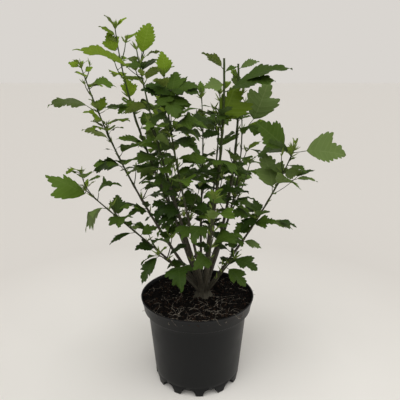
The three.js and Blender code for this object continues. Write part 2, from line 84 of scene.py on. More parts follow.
# Each shoot: where it leaves the stump (bearing, height), its first climb, its tip, the bearing
# and slope it ends with, foot radius, bare share, seed, and the leaves that shape the crown:
# (place, bearing, rise, blade length, roll, stalk length, tint, and how it is drawn). The tint
# goes with the leaf's age and also holds painted light or shade: darker for a leaf in shade,
# lighter for a lit one. In the last, "shape" is a second bearing, rise, length, roll and stalk,
# for the drawn leaf alone.
shoots = [
    dict(name="far_left", foot=(176, 12), climb=56, tip=(-189, 70, 519), end=(176, 73),
         radius=3.0, bare=0.24, seed=11, leaves=[
        (0.83, 185, 15, 62, 25, 18, "grown",
         dict(shape=(183, 13, 66, 18, 20), outline=1, slack=0.9)),
        (0.82, 345, 10, 48, 10, 12, "grown"),
        (0.92, 10, 20, 42, 20, 9, "grown", dict(shape=(8, 24, 42, 14, 6), outline=2, slack=1.7)),
        (1.0, 180, 25, 18, 10, 5, "young", dict(shape=(180, 20, 18, -45, 5), wide=1.2)),
        (0.98, 20, 35, 13, 0, 5, "young", dict(shape=(20, 30, 14, 45, 5), wide=1.2)),
        (0.58, 190, -5, 46, 10, 8, "shaded", dict(shape=(190, 4, 46, 35, 8), slack=1)),
        (0.38, 195, 10, 42, 5, 12, "shaded")]),
    dict(name="low_left", foot=(202, 9), climb=52, tip=(-161, -60, 346), end=(196, 47),
         radius=2.6, bare=0.24, seed=23, leaves=[
        (1.0, 181, 17, 64, -38, 2, "grown",
         dict(shape=(181, 29, 64, -38, 5), stalkWay=(200, -70), outline=6, taper=0.35, left=0.42,
              right=1.15)),
        (0.92, 25, 30, 34, 20, 8, "deep",
         dict(shape=(8, 44, 38, -24, 11), stalkWay=(50, 75), slack=1.8, outline=6, wide=0.45)),
        (0.85, 205, -20, 46, -20, 5, "dull",
         dict(shape=(190, -6, 42, 8, 5), slack=3.0, outline=2, wide=0.5)),
        (0.76, 100, 55, 32, 0, 6, "deep"), (0.62, 215, -15, 38, 0, 8, "shaded", dict(wide=0.55))]),
    dict(name="tall_left", foot=(146, 22), climb=66, tip=(-120, 10, 573), end=(160, 84),
         radius=3.2, bare=0.22, seed=37, leaves=[
        (1.0, 180, 50, 21, 20, 4, "fresh"), (1.0, 0, 40, 20, 30, 4, "young"),
        (0.97, 200, 15, 26, 0, 5, "fresh",
         dict(shape=(188, 44, 28, -22, 5), outline=2, slack=1.6)),
        (0.94, 125, 55, 31, 0, 6, "young",
         dict(shape=(150, 66, 31, -58, 6), stalkWay=(190, -40), outline=5, slack=0.4)),
        (0.76, 120, 65, 32, 0, 6, "young"), (0.72, 200, 10, 44, 15, 4, "deep"),
        (0.59, 215, 15, 38, 10, 5, "grown", dict(shape=(200, 14, 42, -16, 5), outline=3)),
        (0.48, 200, 5, 52, 15, 6, "deep")]),
    dict(name="mid_left", foot=(222, 20), climb=72, tip=(-80, -60, 540), end=(180, 81),
         radius=3.4, bare=0.22, seed=41, leaves=[
        (0.91, 180, 25, 76, 5, 24, "fresh",
         dict(shape=(181, 22, 78, -12, 24), outline=1, wide=0.6, taper=-0.35, slack=0.35)),
        (0.95, 55, 74, 45, 5, 13, "young",
         dict(shape=(35, 72, 41, 48, 18), stalkWay=(30, 78), outline=1, wide=0.92, taper=-0.3)),
        (0.93, 320, 25, 36, 0, 4, "deep")]),
    dict(name="front", foot=(256, 13), climb=66, tip=(-41, -100, 505), end=(240, 82), radius=2.8,
         bare=0.24, seed=53, leaves=[
        (1.0, 115, 75, 34, 0, 3, "young", dict(outline=1, size=0.9)),
        (0.95, 290, -35, 54, 0, 5, "deep", dict(size=0.85, outline=6)),
        (0.94, 205, 12, 50, -40, 5, "shaded", dict(size=0.6, outline=4)),
        (0.94, 335, 15, 48, 40, 5, "deep", dict(size=0.88, outline=5)),
        (0.8, 195, 60, 40, 10, 4, "deep"), (0.78, 330, -20, 42, 0, 5, "shaded")]),
    dict(name="back", foot=(100, 10), climb=64, tip=(6, 110, 487), spiky=0.955, end=(130, 82),
         radius=2.8, bare=0.24, seed=67, leaves=[
        (0.96, 100, 70, 29, 10, 4, "grown", dict(size=0.85, wide=0.9)),
        (0.9, 200, -10, 40, 0, 4, "deep"), (0.85, 340, -5, 42, 0, 4, "grown")]),
    dict(name="centre_back", foot=(72, 21), climb=76, tip=(37, 52, 485), spiky=0.98, end=(90, 86),
         radius=2.7, bare=0.22, seed=71, leaves=[
        (0.97, 190, 50, 28, 10, 3, "grown", dict(size=0.8, wide=0.5)),
        (0.9, 210, 15, 34, 0, 4, "deep")]),
    dict(name="cut_leader", foot=(294, 22), climb=78, tip=(38, -40, 530), end=(200, 88),
         radius=3.4, bare=0.22, cut=True, seed=83, leaves=[
        (0.96, 190, 35, 34, 20, 6, "fresh"),
        (0.88, 342, 10, 64, 20, 13, "deep", dict(shape=(342, 12, 62, 24, 13), outline=3)),
        (0.88, 358, 13, 66, 10, 34, "deep",
         dict(shape=(358, 16, 70, 16, 32), outline=2, slack=0.2)),
        (0.76, 60, 70, 56, -10, 4, "fresh",
         dict(shape=(25, 68, 54, 60, 6), outline=6, left=1.4, right=0.6))]),
    dict(name="cut_right", foot=(6, 20), climb=74, tip=(62, 10, 524), end=(180, 87), radius=3.0,
         bare=0.22, cut=True, seed=97, leaves=[
        (0.91, 330, 25, 24, 0, 4, "grown")]),
    dict(name="right_back", foot=(48, 9), climb=60, tip=(76, 95, 452), end=(150, 84), radius=2.6,
         bare=0.24, seed=101, leaves=[
        (0.87, 5, 62, 74, 80, 22, "dull",
         dict(shape=(5, 70, 74, 86, 32), stalkWay=(5, 52), outline=6, slack=0.1, wide=0.88,
              taper=0.25)), (0.79, 25, -20, 40, 0, 7, "deep")]),
    dict(name="far_right", foot=(336, 10), climb=57, tip=(146, -30, 405), spiky=0.98,
         end=(350, 70), radius=2.9, bare=0.24, seed=113, leaves=[
        (0.97, 355, -5, 60, 60, 20, "dull", dict(outline=(0, 5), right=1.2, left=0.8)),
        (0.95, 190, 40, 58, -65, 20, "grown", dict(outline=2)),
        (0.73, 150, 72, 48, -40, 11, "dull", dict(outline=5, size=1.12, wide=1.1)),
        (0.9, 315, -10, 32, 0, 4, "deep"), (0.72, 10, 20, 30, 0, 48, "deep"),
        (0.55, 350, -15, 30, 0, 34, "shaded"), (0.57, 215, -25, 34, 0, 5, "shaded")]),
    dict(name="low_back", foot=(134, 8), climb=56, tip=(-80, 150, 400), end=(120, 70), radius=2.4,
         bare=0.26, seed=127, leaves=[]),
    dict(name="low_right_back", foot=(74, 7), climb=54, tip=(100, 150, 345), end=(50, 66),
         radius=2.4, bare=0.26, seed=139, leaves=[]),
    dict(name="low_right", foot=(314, 6), climb=46, tip=(56, -54, 236), end=(330, 50), radius=2.2,
         bare=0.3, seed=131, leaves=[
        (1.0, 325, -10, 40, 10, 3, "deep"), (0.8, 320, -30, 38, 10, 6, "deep")]),
    dict(name="low_front", foot=(234, 6), climb=44, tip=(-57, -62, 246), end=(210, 40),
         radius=2.2, bare=0.3, seed=149, leaves=[
        (1.0, 215, -50, 46, 10, 5, "shaded")]),
    dict(name="middle_front", foot=(284, 3), climb=58, tip=(22, -130, 352), end=(276, 64),
         radius=2.4, bare=0.26, seed=157, leaves=[]),
]
# Leaves that only this file has, at the same joints: shoot, then as above.
ownLeaves = [
    ("cut_leader", 0.91, 200, -6, 28, -48, 3, "dull", dict(slack=0.6, wide=1.2)),
    ("cut_right", 0.9, 195, 72, 26, 60, 4, "grown", dict(wide=0.7)),
    ("cut_right", 0.98, 345, 20, 30, 40, 4, "dull", dict(slack=0.4, wide=0.8)),
    ("cut_right", 0.94, 170, 50, 22, -30, 3, "fresh", dict(slack=1, wide=0.6)),
    ("cut_leader", 0.95, 20, 25, 22, 30, 3, "grown", dict(slack=1.2, wide=0.6)),
    ("far_right", 0.97, 190, 4, 62, 30, 8, "deep", dict(outline=5, slack=1)),
    ("far_right", 0.85, 15, -5, 30, -60, 4, "grown", dict(outline=5, wide=1.2)),
    ("far_right", 0.8, 0, -4, 34, 30, 28, "dull", dict(slack=0.5, wide=0.5)),
    ("far_right", 0.51, 340, 22, 35, 20, 4, "deep", dict(outline=4, slack=1)),
    ("far_right", 0.54, 355, -15, 36, 30, 26, "dull", dict(slack=0.6, wide=0.6)),
    ("far_right", 0.5, 210, -8, 34, -30, 4, "deep", dict(outline=3, slack=1)),
    ("far_right", 0.39, 345, -12, 30, 30, 4, "dull", dict(slack=1, wide=0.6)),
    ("mid_left", 0.6, 190, 4, 52, -10, 6, "deep", dict(outline=4, slack=0.6)),
    ("far_left", 0.6, 185, 2, 38, 15, 4, "deep", dict(outline=4, slack=1)),
    ("far_left", 0.82, 45, 66, 28, 25, 4, "fresh", dict(outline=6, slack=0.8)),
    ("far_left", 0.66, 5, 20, 23, 5, 3, "deep", dict(slack=1, wide=0.6)),
    ("far_left", 0.65, 175, 14, 20, 10, 3, "deep", dict(slack=1, wide=0.6)),
    ("tall_left", 0.75, 215, -30, 24, -20, 4, "grown", dict(outline=3, slack=1)),
    ("front", 0.89, 230, -35, 36, 10, 4, "deep", dict(outline=5)),
    ("front", 0.81, 340, 0, 38, 20, 5, "grown", dict(outline=5, slack=1.4)),
    ("back", 0.75, 185, 26, 42, 30, 5, "deep", dict(outline=3, slack=1)),
    ("front", 0.77, 340, 4, 34, 15, 4, "deep", dict(outline=2, slack=1.5)),
    ("cut_leader", 0.71, 185, 8, 32, 30, 4, "shaded", dict(outline=1, slack=1.2)),
    ("cut_right", 0.72, 215, -10, 28, 40, 4, "deep", dict(outline=3, slack=1)),
    ("cut_leader", 0.6, 190, 0, 40, 25, 5, "deep", dict(outline=4, slack=0.8)),
    ("front", 0.7, 350, -6, 34, 20, 4, "grown", dict(outline=3, slack=1.5)),
    ("front", 0.71, 200, -4, 32, 20, 4, "shaded", dict(outline=4, slack=1.2)),
    ("tall_left", 0.41, 195, 6, 34, 40, 4, "deep", dict(slack=1.4, wide=0.7)),
    ("mid_left", 0.41, 205, -24, 40, 10, 5, "shaded", dict(outline=5, slack=1)),
    ("mid_left", 0.33, 200, -10, 42, 20, 5, "deep", dict(outline=4, slack=1.4)),
    ("low_left", 0.58, 5, 28, 28, 40, 4, "deep", dict(slack=1, wide=0.8)),
    ("front", 0.955, 70, 62, 28, 0, 10, "grown", dict(outline=5, wide=1.3, stalkWay=(335, 0))),
    ("front", 0.935, 225, -24, 32, 0, 9, "deep", dict(outline=6, wide=1.2, stalkWay=(335, 0))),
    ("front", 0.96, 335, -5, 38, 20, 10, "deep", dict(outline=5, wide=1.2, stalkWay=(335, 0))),
    ("front", 0.945, 190, 20, 36, -30, 9, "shaded", dict(outline=5, wide=1.1, stalkWay=(335, 0))),
    ("front", 0.94, 290, -48, 36, 0, 9, "deep", dict(outline=6, wide=1.2, stalkWay=(335, 0))),
    ("mid_left", 0.81, 205, -12, 36, 30, 4, "fresh", dict(outline=4, wide=1.2)),
    ("mid_left", 0.93, 190, 4, 27, -28, 10, "deep",
     dict(outline=3, slack=0.8, stalkWay=(340, 45))),
    ("low_front", 0.97, 195, -6, 32, 20, 3, "deep", dict(outline=3, slack=1.2)),
]
view = {"place": (0.0046, -0.680, 0.505), "downward": 15.6, "lens": 39.6, "sensor": 36}
# Openings in the crown towards the front, as x, z and radius on the upright plane through the
# pot's middle; nothing fine grows into them.
openings = [
    (-92, 554, 12), (-56, 570, 12), (-125, 527, 9), (-110, 541, 7), (-135, 486, 10),
    (-119, 482, 8), (-102, 440, 14), (-132, 454, 8), (-138, 276, 11), (-132, 254, 10),
    (-132, 315, 8), (-142, 335, 9), (135, 303, 15), (148, 330, 11), (-132, 404, 12),
    (-98, 351, 14), (-7, 484, 8), (23, 482, 8), (102, 468, 20), (72, 484, 8), (85, 422, 9),
    (103, 332, 14), (-70, 489, 9), (-4, 469, 9), (23, 422, 8), (26, 402, 8), (52, 430, 8),
    (-33, 382, 9), (71, 407, 9), (51, 399, 6), (-33, 175, 11), (113, 361, 8), (165, 396, 11),
    (135, 383, 9), (6, 486, 9), (34, 484, 8), (36, 466, 10), (-103, 494, 9), (-108, 398, 8),
    (-91, 398, 8), (-147, 534, 9), (-148, 515, 7), (-160, 315, 7), (-141, 315, 6),
    (-133, 560, 14), (-175, 495, 9), (-164, 476, 6),
]


def heading(bearing, rise):
    b, r = math.radians(bearing), math.radians(rise)
    return np.array([math.cos(r) * math.cos(b), math.cos(r) * math.sin(b), math.sin(r)])


def seededSeries(seed):
    # numbers from 0 to 1, the same on every run
    state = [seed]

    def nextNumber():
        state[0] = (state[0] * 1664525 + 1013904223) % 2 ** 32
        return state[0] / 2 ** 32
    return nextNumber


def spanOf(random):
    return lambda low, high: low + (high - low) * random()


def linearColor(hexText):
    parts = [int(hexText[i:i + 2], 16) / 255 for i in (1, 3, 5)]
    return (*[c / 12.92 if c <= 0.04045 else ((c + 0.055) / 1.055) ** 2.4 for c in parts], 1.0)


def unit(v):
    return v / np.linalg.norm(v)


def turnsOf(count):
    # cosine and sine of each of so many equal turns
    turns = [2 * math.pi * k / count for k in range(count)]
    return [(math.cos(turn), math.sin(turn)) for turn in turns]


def ringFaces(rings, sides, start=0, flip=False, closed=False):
    # quads between neighbouring rings of points
    faces = []
    for i in range(rings if closed else rings - 1):
        a, b = start + i * sides, start + (i + 1) % rings * sides
        for k in range(sides):
            n = (k + 1) % sides
            faces.append((a + k, b + k, b + n, a + n) if flip else (a + k, a + n, b + n, b + k))
    return faces


def tubeFaces(rings, sides):
    ends = [tuple(reversed(range(sides))), tuple((rings - 1) * sides + k for k in range(sides))]
    return ringFaces(rings, sides) + ends


def newObject(name, points, faces=(), helper=False):
    # points in metres; a helper is only there for other pieces to be made from
    mesh = bpy.data.meshes.new(name)
    mesh.from_pydata([tuple(float(c) for c in p) for p in points], [], faces)
    thing = bpy.data.objects.new(name, mesh)
    bpy.context.scene.collection.objects.link(thing)
    if helper:
        thing.hide_render = True
    return thing


def finishPiece(piece, material, nodes=()):
    piece.data.materials.clear()
    piece.data.materials.append(material)
    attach(piece, "root")
    if nodes:
        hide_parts(*nodes)
    return piece


class Heap:
    # vertices, faces, and for each vertex a UV pair and a tone, gathered for one piece
    def __init__(self):
        self.points, self.faces, self.maps, self.tones = [], [], [], []

    def add(self, points, faces, maps=None, tone=0.5):
        start = len(self.points)
        self.points.extend(points)
        self.faces.extend([tuple(start + i for i in face) for face in faces])
        self.maps.extend(maps if maps is not None else [(0.0, 0.0)] * len(points))
        self.tones.extend([tone] * len(points))

    def piece(self, name, material, slotName, nodes=()):
        piece = newObject(name, [[c * mm for c in p] for p in self.points], self.faces)
        mesh = piece.data
        layer = mesh.uv_layers.new(name="leafMap")
        loops = np.empty(len(mesh.loops), dtype=np.int32)
        mesh.loops.foreach_get("vertex_index", loops)
        layer.data.foreach_set("uv", np.array(self.maps, dtype=np.float32)[loops].ravel())
        tones = mesh.attributes.new("tone", "FLOAT", "POINT")
        tones.data.foreach_set("value", self.tones)
        mesh.polygons.foreach_set("use_smooth", [True] * len(mesh.polygons))
        mesh.update()
        return finishPiece(piece, material, nodes)


def addNode(tree, kind, inputs=(), stops=(), **settings):
    # a kind without "Node" in it is a shader's; an input takes a value, a hex colour or another
    # node's output; stops are a ramp's places and colours
    node = tree.nodes.new(kind if "Node" in kind else "ShaderNode" + kind)
    for key, value in settings.items():
        setattr(node, key, value)
    for key, value in dict(inputs).items():
        if isinstance(value, bpy.types.NodeSocket):
            tree.links.new(value, node.inputs[key])
        else:
            isColor = isinstance(value, str) and value[0] == "#"
            node.inputs[key].default_value = linearColor(value) if isColor else value
    for i, (place, color) in enumerate(stops):
        ramp = node.color_ramp.elements
        stop = ramp[i] if i < 2 else ramp.new(place)
        stop.position, stop.color = place, linearColor(color)
    return node.outputs


def newMaterial(name, roughness, ior, specular):
    # gives the material, what adds a node to it, and the coordinates its patterns read
    material = bpy.data.materials.new(name)
    material.use_nodes = True
    tree = material.node_tree
    shader = tree.nodes["Principled BSDF"].inputs
    for key, value in (("Roughness", roughness), ("IOR", ior), ("Specular IOR Level", specular)):
        shader[key].default_value = value
    return material, partial(addNode, tree), addNode(tree, "TexCoord")


def coated(material, color, relief=None, strength=0.0, depth=0.0, rough=None):
    # joins the colour to the shader, a relief as a bump, and a roughness where it varies
    tree, bump = material.node_tree, None
    if relief is not None:
        bump = addNode(tree, "Bump", {"Height": relief, "Strength": strength, "Distance": depth})[0]
    shader = tree.nodes["Principled BSDF"].inputs
    for key, socket in (("Base Color", color), ("Normal", bump), ("Roughness", rough)):
        if socket is not None:
            tree.links.new(socket, shader[key])
    return material


# Pattern scales are counts to the metre: a thousand over the pattern's size in millimetres.
potLook = {
    "deep": "#030507", "face": "#07090b", "dust": "#211a14",
    "grain": 900,   # 1.1 mm mould grain
    "smear": 26,    # 38 mm clouds left by handling
    "streak": 70,   # 14 mm patches of dried soil
    "dustFrom": 0.118, "dustTo": 0.152, "dustMost": 0.3,  # heights in metres, and how much
}


def mouldedPolypropylene():
    # black pot plastic: soft wide sheen, fine mould grain, dust and dried soil under the rim
    material, add, where = newMaterial("moulded_polypropylene", 0.45, 1.49, 0.24)
    at = where["Object"]
    smear = add("TexNoise", {"Vector": at, "Scale": potLook["smear"], "Detail": 5})[0]
    base = add("ValToRGB", {0: smear}, [(0.3, potLook["deep"]), (0.75, potLook["face"])])[0]
    height = add("SeparateXYZ", {0: at})[2]
    under = add("MapRange", {0: height, 1: potLook["dustFrom"], 2: potLook["dustTo"],
                             4: potLook["dustMost"]})[0]
    streak = add("TexNoise", {"Vector": at, "Scale": potLook["streak"], "Detail": 6,
                              "Roughness": 0.7})
    patch = add("MapRange", {0: streak[0], 1: 0.45, 2: 0.7})[0]
    dust = add("Math", {0: under, 1: patch}, operation="MULTIPLY")[0]
    color = add("Mix", {0: dust, 6: base, 7: potLook["dust"]}, data_type="RGBA")[2]
    sheen = add("MapRange", {0: smear, 1: 0.3, 2: 0.7, 3: 0.34, 4: 0.46})[0]
    rough = add("Math", {0: dust, 1: 0.4, 2: sheen}, operation="MULTIPLY_ADD")[0]
    grain = add("TexNoise", {"Vector": at, "Scale": potLook["grain"], "Detail": 2})[0]
    return coated(material, color, grain, 0.08, 0.0004, rough)


peatLook = {"clod": 160, "speck": 420, "fibre": "#5c4733"}  # 6 mm clods, 2.4 mm specks


def pottingPeat():
    # damp peat: near black, with brown crumbs and fine pale fibres
    material, add, where = newMaterial("potting_peat", 0.9, 1.4, 0.15)
    at = where["Object"]
    coarse = add("TexNoise", {"Vector": at, "Scale": peatLook["clod"], "Detail": 8,
                              "Roughness": 0.75})[0]
    base = add("ValToRGB", {0: coarse}, [(0.3, "#050404"), (0.55, "#0d0a08"), (0.8, "#1e1510")])[0]
    specks = add("TexVoronoi", {"Vector": at, "Scale": peatLook["speck"]})["Distance"]
    light = add("MapRange", {0: specks, 1: 0.05, 2: 0.16, 3: 0.5, 4: 0.0})[0]
    color = add("Mix", {0: light, 6: base, 7: peatLook["fibre"]}, data_type="RGBA")[2]
    return coated(material, color, coarse, 0.9, 0.0015)


def groundBit(name, dark, light, roughness):
    # one kind of bit on the soil, mottled between two tones
    material, add, where = newMaterial(name, roughness, 1.4, 0.2)
    patches = add("TexNoise", {"Vector": where["Object"], "Scale": 230, "Detail": 4})
    color = add("ValToRGB", {0: patches[0]}, [(0.35, dark), (0.7, light)])[0]
    return coated(material, color)


barkLook = {
    "line": 900, "drawnOut": 0.16,         # lines 1.1 mm wide and 7 mm long
    "patch": 60, "pore": 380,              # 17 mm patches, breathing pores 2.6 mm apart
    "poreTone": "#a39a84", "stainTone": "#1d1813",
    "stainFrom": 0.152, "stainTo": 0.172,  # damp and dark just above the soil, in metres
}


def hibiscusBark(name, low, high, green, greenFrom, greenTo):
    # thin young bark: grey-brown, drawn out in fine lines, with pale breathing pores; it turns
    # green where the shoot is still soft
    material, add, where = newMaterial(name, 0.72, 1.42, 0.35)
    at = where["Object"]
    drawn = add("Mapping", {"Vector": at, "Scale": (1, 1, barkLook["drawnOut"])})[0]
    lines = add("TexNoise", {"Vector": drawn, "Scale": barkLook["line"], "Detail": 6,
                             "Roughness": 0.65})[0]
    bark = add("ValToRGB", {0: lines}, [(0.32, low), (0.68, high)])[0]
    height = add("SeparateXYZ", {0: at})[2]
    patches = add("TexNoise", {"Vector": at, "Scale": barkLook["patch"], "Detail": 3})[0]
    lifted = add("Math", {0: patches, 1: 0.12, 2: height}, operation="MULTIPLY_ADD")[0]
    soft = add("MapRange", {0: lifted, 1: greenFrom, 2: greenTo})[0]
    pores = add("TexVoronoi", {"Vector": at, "Scale": barkLook["pore"]})["Distance"]
    dots = add("MapRange", {0: pores, 1: 0.06, 2: 0.14, 3: 0.55, 4: 0.0})[0]
    stain = add("MapRange", {0: lifted, 1: barkLook["stainFrom"], 2: barkLook["stainTo"],
                             3: 0.75, 4: 0.0})[0]
    color = bark
    for share, over in (
            (soft, green), (dots, barkLook["poreTone"]), (stain, barkLook["stainTone"])):
        color = add("Mix", {0: share, 6: color, 7: over}, data_type="RGBA")[2]
    return coated(material, color, lines, 0.5, 0.0005)


leafLook = {
    "cloud": 70, "cell": 620,            # 14 mm clouds, 1.6 mm cells between the finest veins
    "sideVeins": 8.0, "lobeSlope": 1.5,  # pairs of side veins, and how far the lobes' ribs splay
    "veinShare": 0.17, "underShare": 0.7,
}


def leafBlade(name, face, shade, vein, back, gloss):
    # leaf blade: satin upper side, paler raised veins, dull pale underside
    material, add, where = newMaterial("leaf_" + name, gloss, 1.42, 0.13)
    split = add("SeparateXYZ", {0: where["UV"]})
    along, at = split[1], where["Object"]
    aside = add("Math", {0: split[0], 1: 0.5}, operation="SUBTRACT")[0]
    across = add("Math", {0: aside}, operation="ABSOLUTE")[0]
    lobeWay = add("Math", {0: along, 1: -leafLook["lobeSlope"], 2: across},
                  operation="MULTIPLY_ADD")[0]
    lobeLine = add("Math", {0: lobeWay}, operation="ABSOLUTE")[0]
    eighths = add("Math", {0: along, 1: leafLook["sideVeins"]}, operation="MULTIPLY")[0]
    saw = add("Math", {0: eighths}, operation="FRACT")[0]
    tooth = add("Math", {0: saw, 1: 0.5}, operation="SUBTRACT")[0]
    ridge = add("Math", {0: tooth}, operation="ABSOLUTE")[0]
    # midrib, the lobes' ribs, side veins: width within and without, and strength
    veins = 0.0
    for line, thin, wide, strength in (
            (across, 0.006, 0.02, 1.0), (lobeLine, 0.005, 0.017, 0.8), (ridge, 0.04, 0.12, 0.6)):
        rib = add("MapRange", {0: line, 1: thin, 2: wide, 3: strength, 4: 0.0})[0]
        veins = add("Math", {0: rib, 1: veins}, operation="MAXIMUM")[0]
    cloud = add("TexNoise", {"Vector": at, "Scale": leafLook["cloud"], "Detail": 4})[0]
    tone = add("Attribute", attribute_name="tone")["Fac"]
    part = add("Math", {0: cloud, 1: 0.4}, operation="MULTIPLY")[0]
    mixed = add("Math", {0: tone, 1: 0.6, 2: part}, operation="MULTIPLY_ADD")[0]
    color = add("ValToRGB", {0: mixed}, [(0.25, shade), (0.75, face)])[0]
    under = add("NewGeometry")["Backfacing"]
    for share, most, over in (
            (veins, leafLook["veinShare"], vein), (under, leafLook["underShare"], back)):
        share = add("Math", {0: share, 1: most}, operation="MULTIPLY")[0]
        color = add("Mix", {0: share, 6: color, 7: over}, data_type="RGBA")[2]
    cells = add("TexVoronoi", {"Vector": at, "Scale": leafLook["cell"]})["Distance"]
    sunk = add("Math", {0: veins, 1: -0.8}, operation="MULTIPLY")[0]
    height = add("Math", {0: cells, 1: 0.5, 2: sunk}, operation="MULTIPLY_ADD")[0]
    return coated(material, color, height, 0.45, 0.0006)


looks = {
    "pot": mouldedPolypropylene(),
    "peat": pottingPeat(),
    "chip": groundBit("bark_chip", "#150f0c", "#38271b", 0.9),
    "fleck": groundBit("pale_grit", "#6f675b", "#b9b2a3", 0.8),
    "fibre": groundBit("root_fibre", "#4c443a", "#9a9082", 0.8),
    "rootlet": groundBit("dry_rootlet", "#5f574d", "#aaa193", 0.8),
    "bark": hibiscusBark("hibiscus_bark", "#302e26", "#575244", "#3d4624", 0.36, 0.62),
    "green": hibiscusBark("green_shoot", "#2b2d1a", "#44472b", "#3b4a1f", 0.34, 0.60),
    "cut": groundBit("cut_wood", "#4a4234", "#8d8268", 0.85),
}
# leaf tints: upper face, its darker patches, veins, underside, roughness. From young to shaded
# they go with the leaves' age and also hold painted light and shade: young and fresh are also
# painted light for leaves high and outside, deep and shaded are painted shade for leaves within
# and low in the crown.
tints = {
    "young": ("#7f9820", "#68821a", "#a2b656", "#8c9f52", 0.55),
    "fresh": ("#6a801e", "#566c19", "#8b9e4e", "#7c8d47", 0.52),
    "grown": ("#526b22", "#415819", "#758845", "#687c40", 0.5),
    "deep": ("#42581b", "#334618", "#607438", "#556b39", 0.5),
    "shaded": ("#324716", "#243611", "#4d632c", "#42572b", 0.5),
    "dull": ("#667a40", "#596c38", "#8d9a66", "#77865a", 0.55),
}
leafLooks = {name: leafBlade(name, *tint) for name, tint in tints.items()}
print("materials made")


# The shoots' lines, and the rule that places twigs and leaves as in the solids.
def shootLine(shoot):
    bearing, rise = shoot["foot"]
    start = np.array([stump["x"], stump["y"], soil["crownHeight"] + rise], float)
    start = start + heading(bearing, 0) * stump["shootRing"]
    tip = np.array(shoot["tip"], float)
    reach = np.linalg.norm(tip - start) * limb["handle"]
    first = start + heading(bearing, shoot["climb"]) * reach
    return [start, first, tip - heading(*shoot["end"]) * reach, tip]


def pointOn(line, t):
    u = 1 - t
    weights = (u * u * u, 3 * u * u * t, 3 * u * t * t, t * t * t)
    return sum(p * w for p, w in zip(line, weights))


def makeLeaf(at, shape, tint, stalkWay=None):
    # "stalkWay" turns the stalk away from the blade's own direction
    bearing, rise, length, roll, stalk = shape
    along, up = heading(bearing, rise), heading(bearing, rise + rightAngle)
    left = np.cross(up, along)
    turn = math.radians(roll)
    side = left * math.cos(turn) + up * math.sin(turn)
    normal = up * math.cos(turn) - left * math.sin(turn)
    base = at + heading(*(stalkWay or (bearing, rise + leafStalk["lift"]))) * stalk
    return {"at": at, "base": base, "along": along, "side": side, "normal": normal,
            "length": length, "tint": tint, "bearing": bearing}


def onBlade(leaf, t, s):
    height = blade["arch"] * 4 * t * (1 - t) + blade["fold"] * abs(s)
    return leaf["base"] + (leaf["along"] * t + leaf["side"] * s
                           + leaf["normal"] * height) * leaf["length"]


def halfWidth(t):
    return 0.42 * math.sin(math.pi * t ** 0.85) ** 0.75


def leafSamples(leaf, step):
    # points over the blade and its stalk
    length = leaf["length"]
    rows = math.ceil(length / step)
    samples = []
    for i in range(rows + 1):
        half = max(halfWidth(i / rows), 0) if i < rows else 1e-12
        columns = math.ceil(half * length / step)
        for k in range(-columns, columns + 1):
            samples.append(onBlade(leaf, i / rows, half * k / columns if columns else 0))
    stalk = leaf["base"] - leaf["at"]
    steps = math.ceil(np.linalg.norm(stalk) / step)
    return np.array(samples + [leaf["at"] + stalk * (i / steps) for i in range(1, steps)])


def lineSamples(line):
    steps = 2 * math.ceil(np.linalg.norm(line[0] - line[3]) / clearance["sample"])
    return np.array([pointOn(line, i / steps) for i in range(steps + 1)])


def occupied(samples, isLimb, shoot, place):
    centre = samples[len(samples) // 2]
    reach = np.sqrt(((samples - centre) ** 2).sum(1).max())
    return {"samples": samples, "centre": centre, "reach": reach, "isLimb": isLimb,
            "shoot": shoot, "place": place}


def isClear(piece, bladeLimit, limbLimit):
    for other in taken:
        beside = other["isLimb"] or abs(other["place"] - piece["place"]) < clearance["joint"]
        if other["shoot"] == piece["shoot"] and beside:
            continue
        limit = limbLimit if piece["isLimb"] or other["isLimb"] else bladeLimit
        between = np.linalg.norm(piece["centre"] - other["centre"])
        if between > piece["reach"] + other["reach"] + limit:
            continue
        apart = piece["samples"][:, None, :] - other["samples"][None, :, :]
        if ((apart ** 2).sum(2) < limit * limit).any():
            return False
    return True


def leafLength(t, chance):
    span = joint["largestLeaf"] - joint["smallestLeaf"]
    return joint["smallestLeaf"] + span * math.sin(math.pi * t ** 1.9) * (0.6 + 0.4 * chance)


def stalkLength(length):
    return leafStalk["base"] + leafStalk["share"] * length


# Heights for the tints: below the lower one a leaf takes the shaded tint as painted shade, above
# the higher one it may take the fresh tint as painted light.
tintRule = {
    "shadedBelow": 240, "brightAbove": 370, "youngAbove": 430,  # heights
    "budLength": 22, "budPlace": 0.93, "youngLength": 36,
    "place": 0.55, "outward": 0.5, "chance": 0.35,  # what each counts
    "limits": ((0.32, "shaded"), (0.60, "deep"), (0.84, "grown"), (1.04, "fresh")),
}


def tintAt(place, at, length, chance):
    # by where a leaf stands: brighter at the shoot's end, where leaves are young; brighter high up
    # and outside as painted light, and darker within and low down as painted shade
    outward = math.hypot(at[0], at[1]) / 200 + (at[2] - 300) / 500
    score = (tintRule["place"] * place + tintRule["outward"] * outward
             + tintRule["chance"] * (chance - 0.5))
    isYoung, inPaintedLight = at[2] > tintRule["youngAbove"], at[2] > tintRule["brightAbove"]
    # a low leaf takes the shaded tint: painted shade
    if at[2] < tintRule["shadedBelow"]:
        return "shaded"
    if length < tintRule["budLength"] and place > tintRule["budPlace"]:
        return "young" if isYoung else "fresh"
    for limit, name in tintRule["limits"]:
        if score < limit:
            return name if name != "fresh" or inPaintedLight else "grown"
    if length < tintRule["youngLength"] and isYoung:
        return "young"
    return "fresh" if inPaintedLight else "grown"


lines = [shootLine(shoot) for shoot in shoots]
taken = [occupied(lineSamples(line), True, i, 0) for i, line in enumerate(lines)]
leaves, twigs, joints = [], [], []


def ownSeries(index, place, bearing):
    # a series for one leaf, which stays the same when other leaves come or go; the primes keep
    # the leaves' seeds apart
    series = seededSeries(index * 7919 + round(place * 10000) * 104729 + round(bearing) * 1299709)
    series()
    return series


def outside(samples):
    return bool((samples < np.array(cadLow) / mm).any() or (samples > np.array(cadHigh) / mm).any())


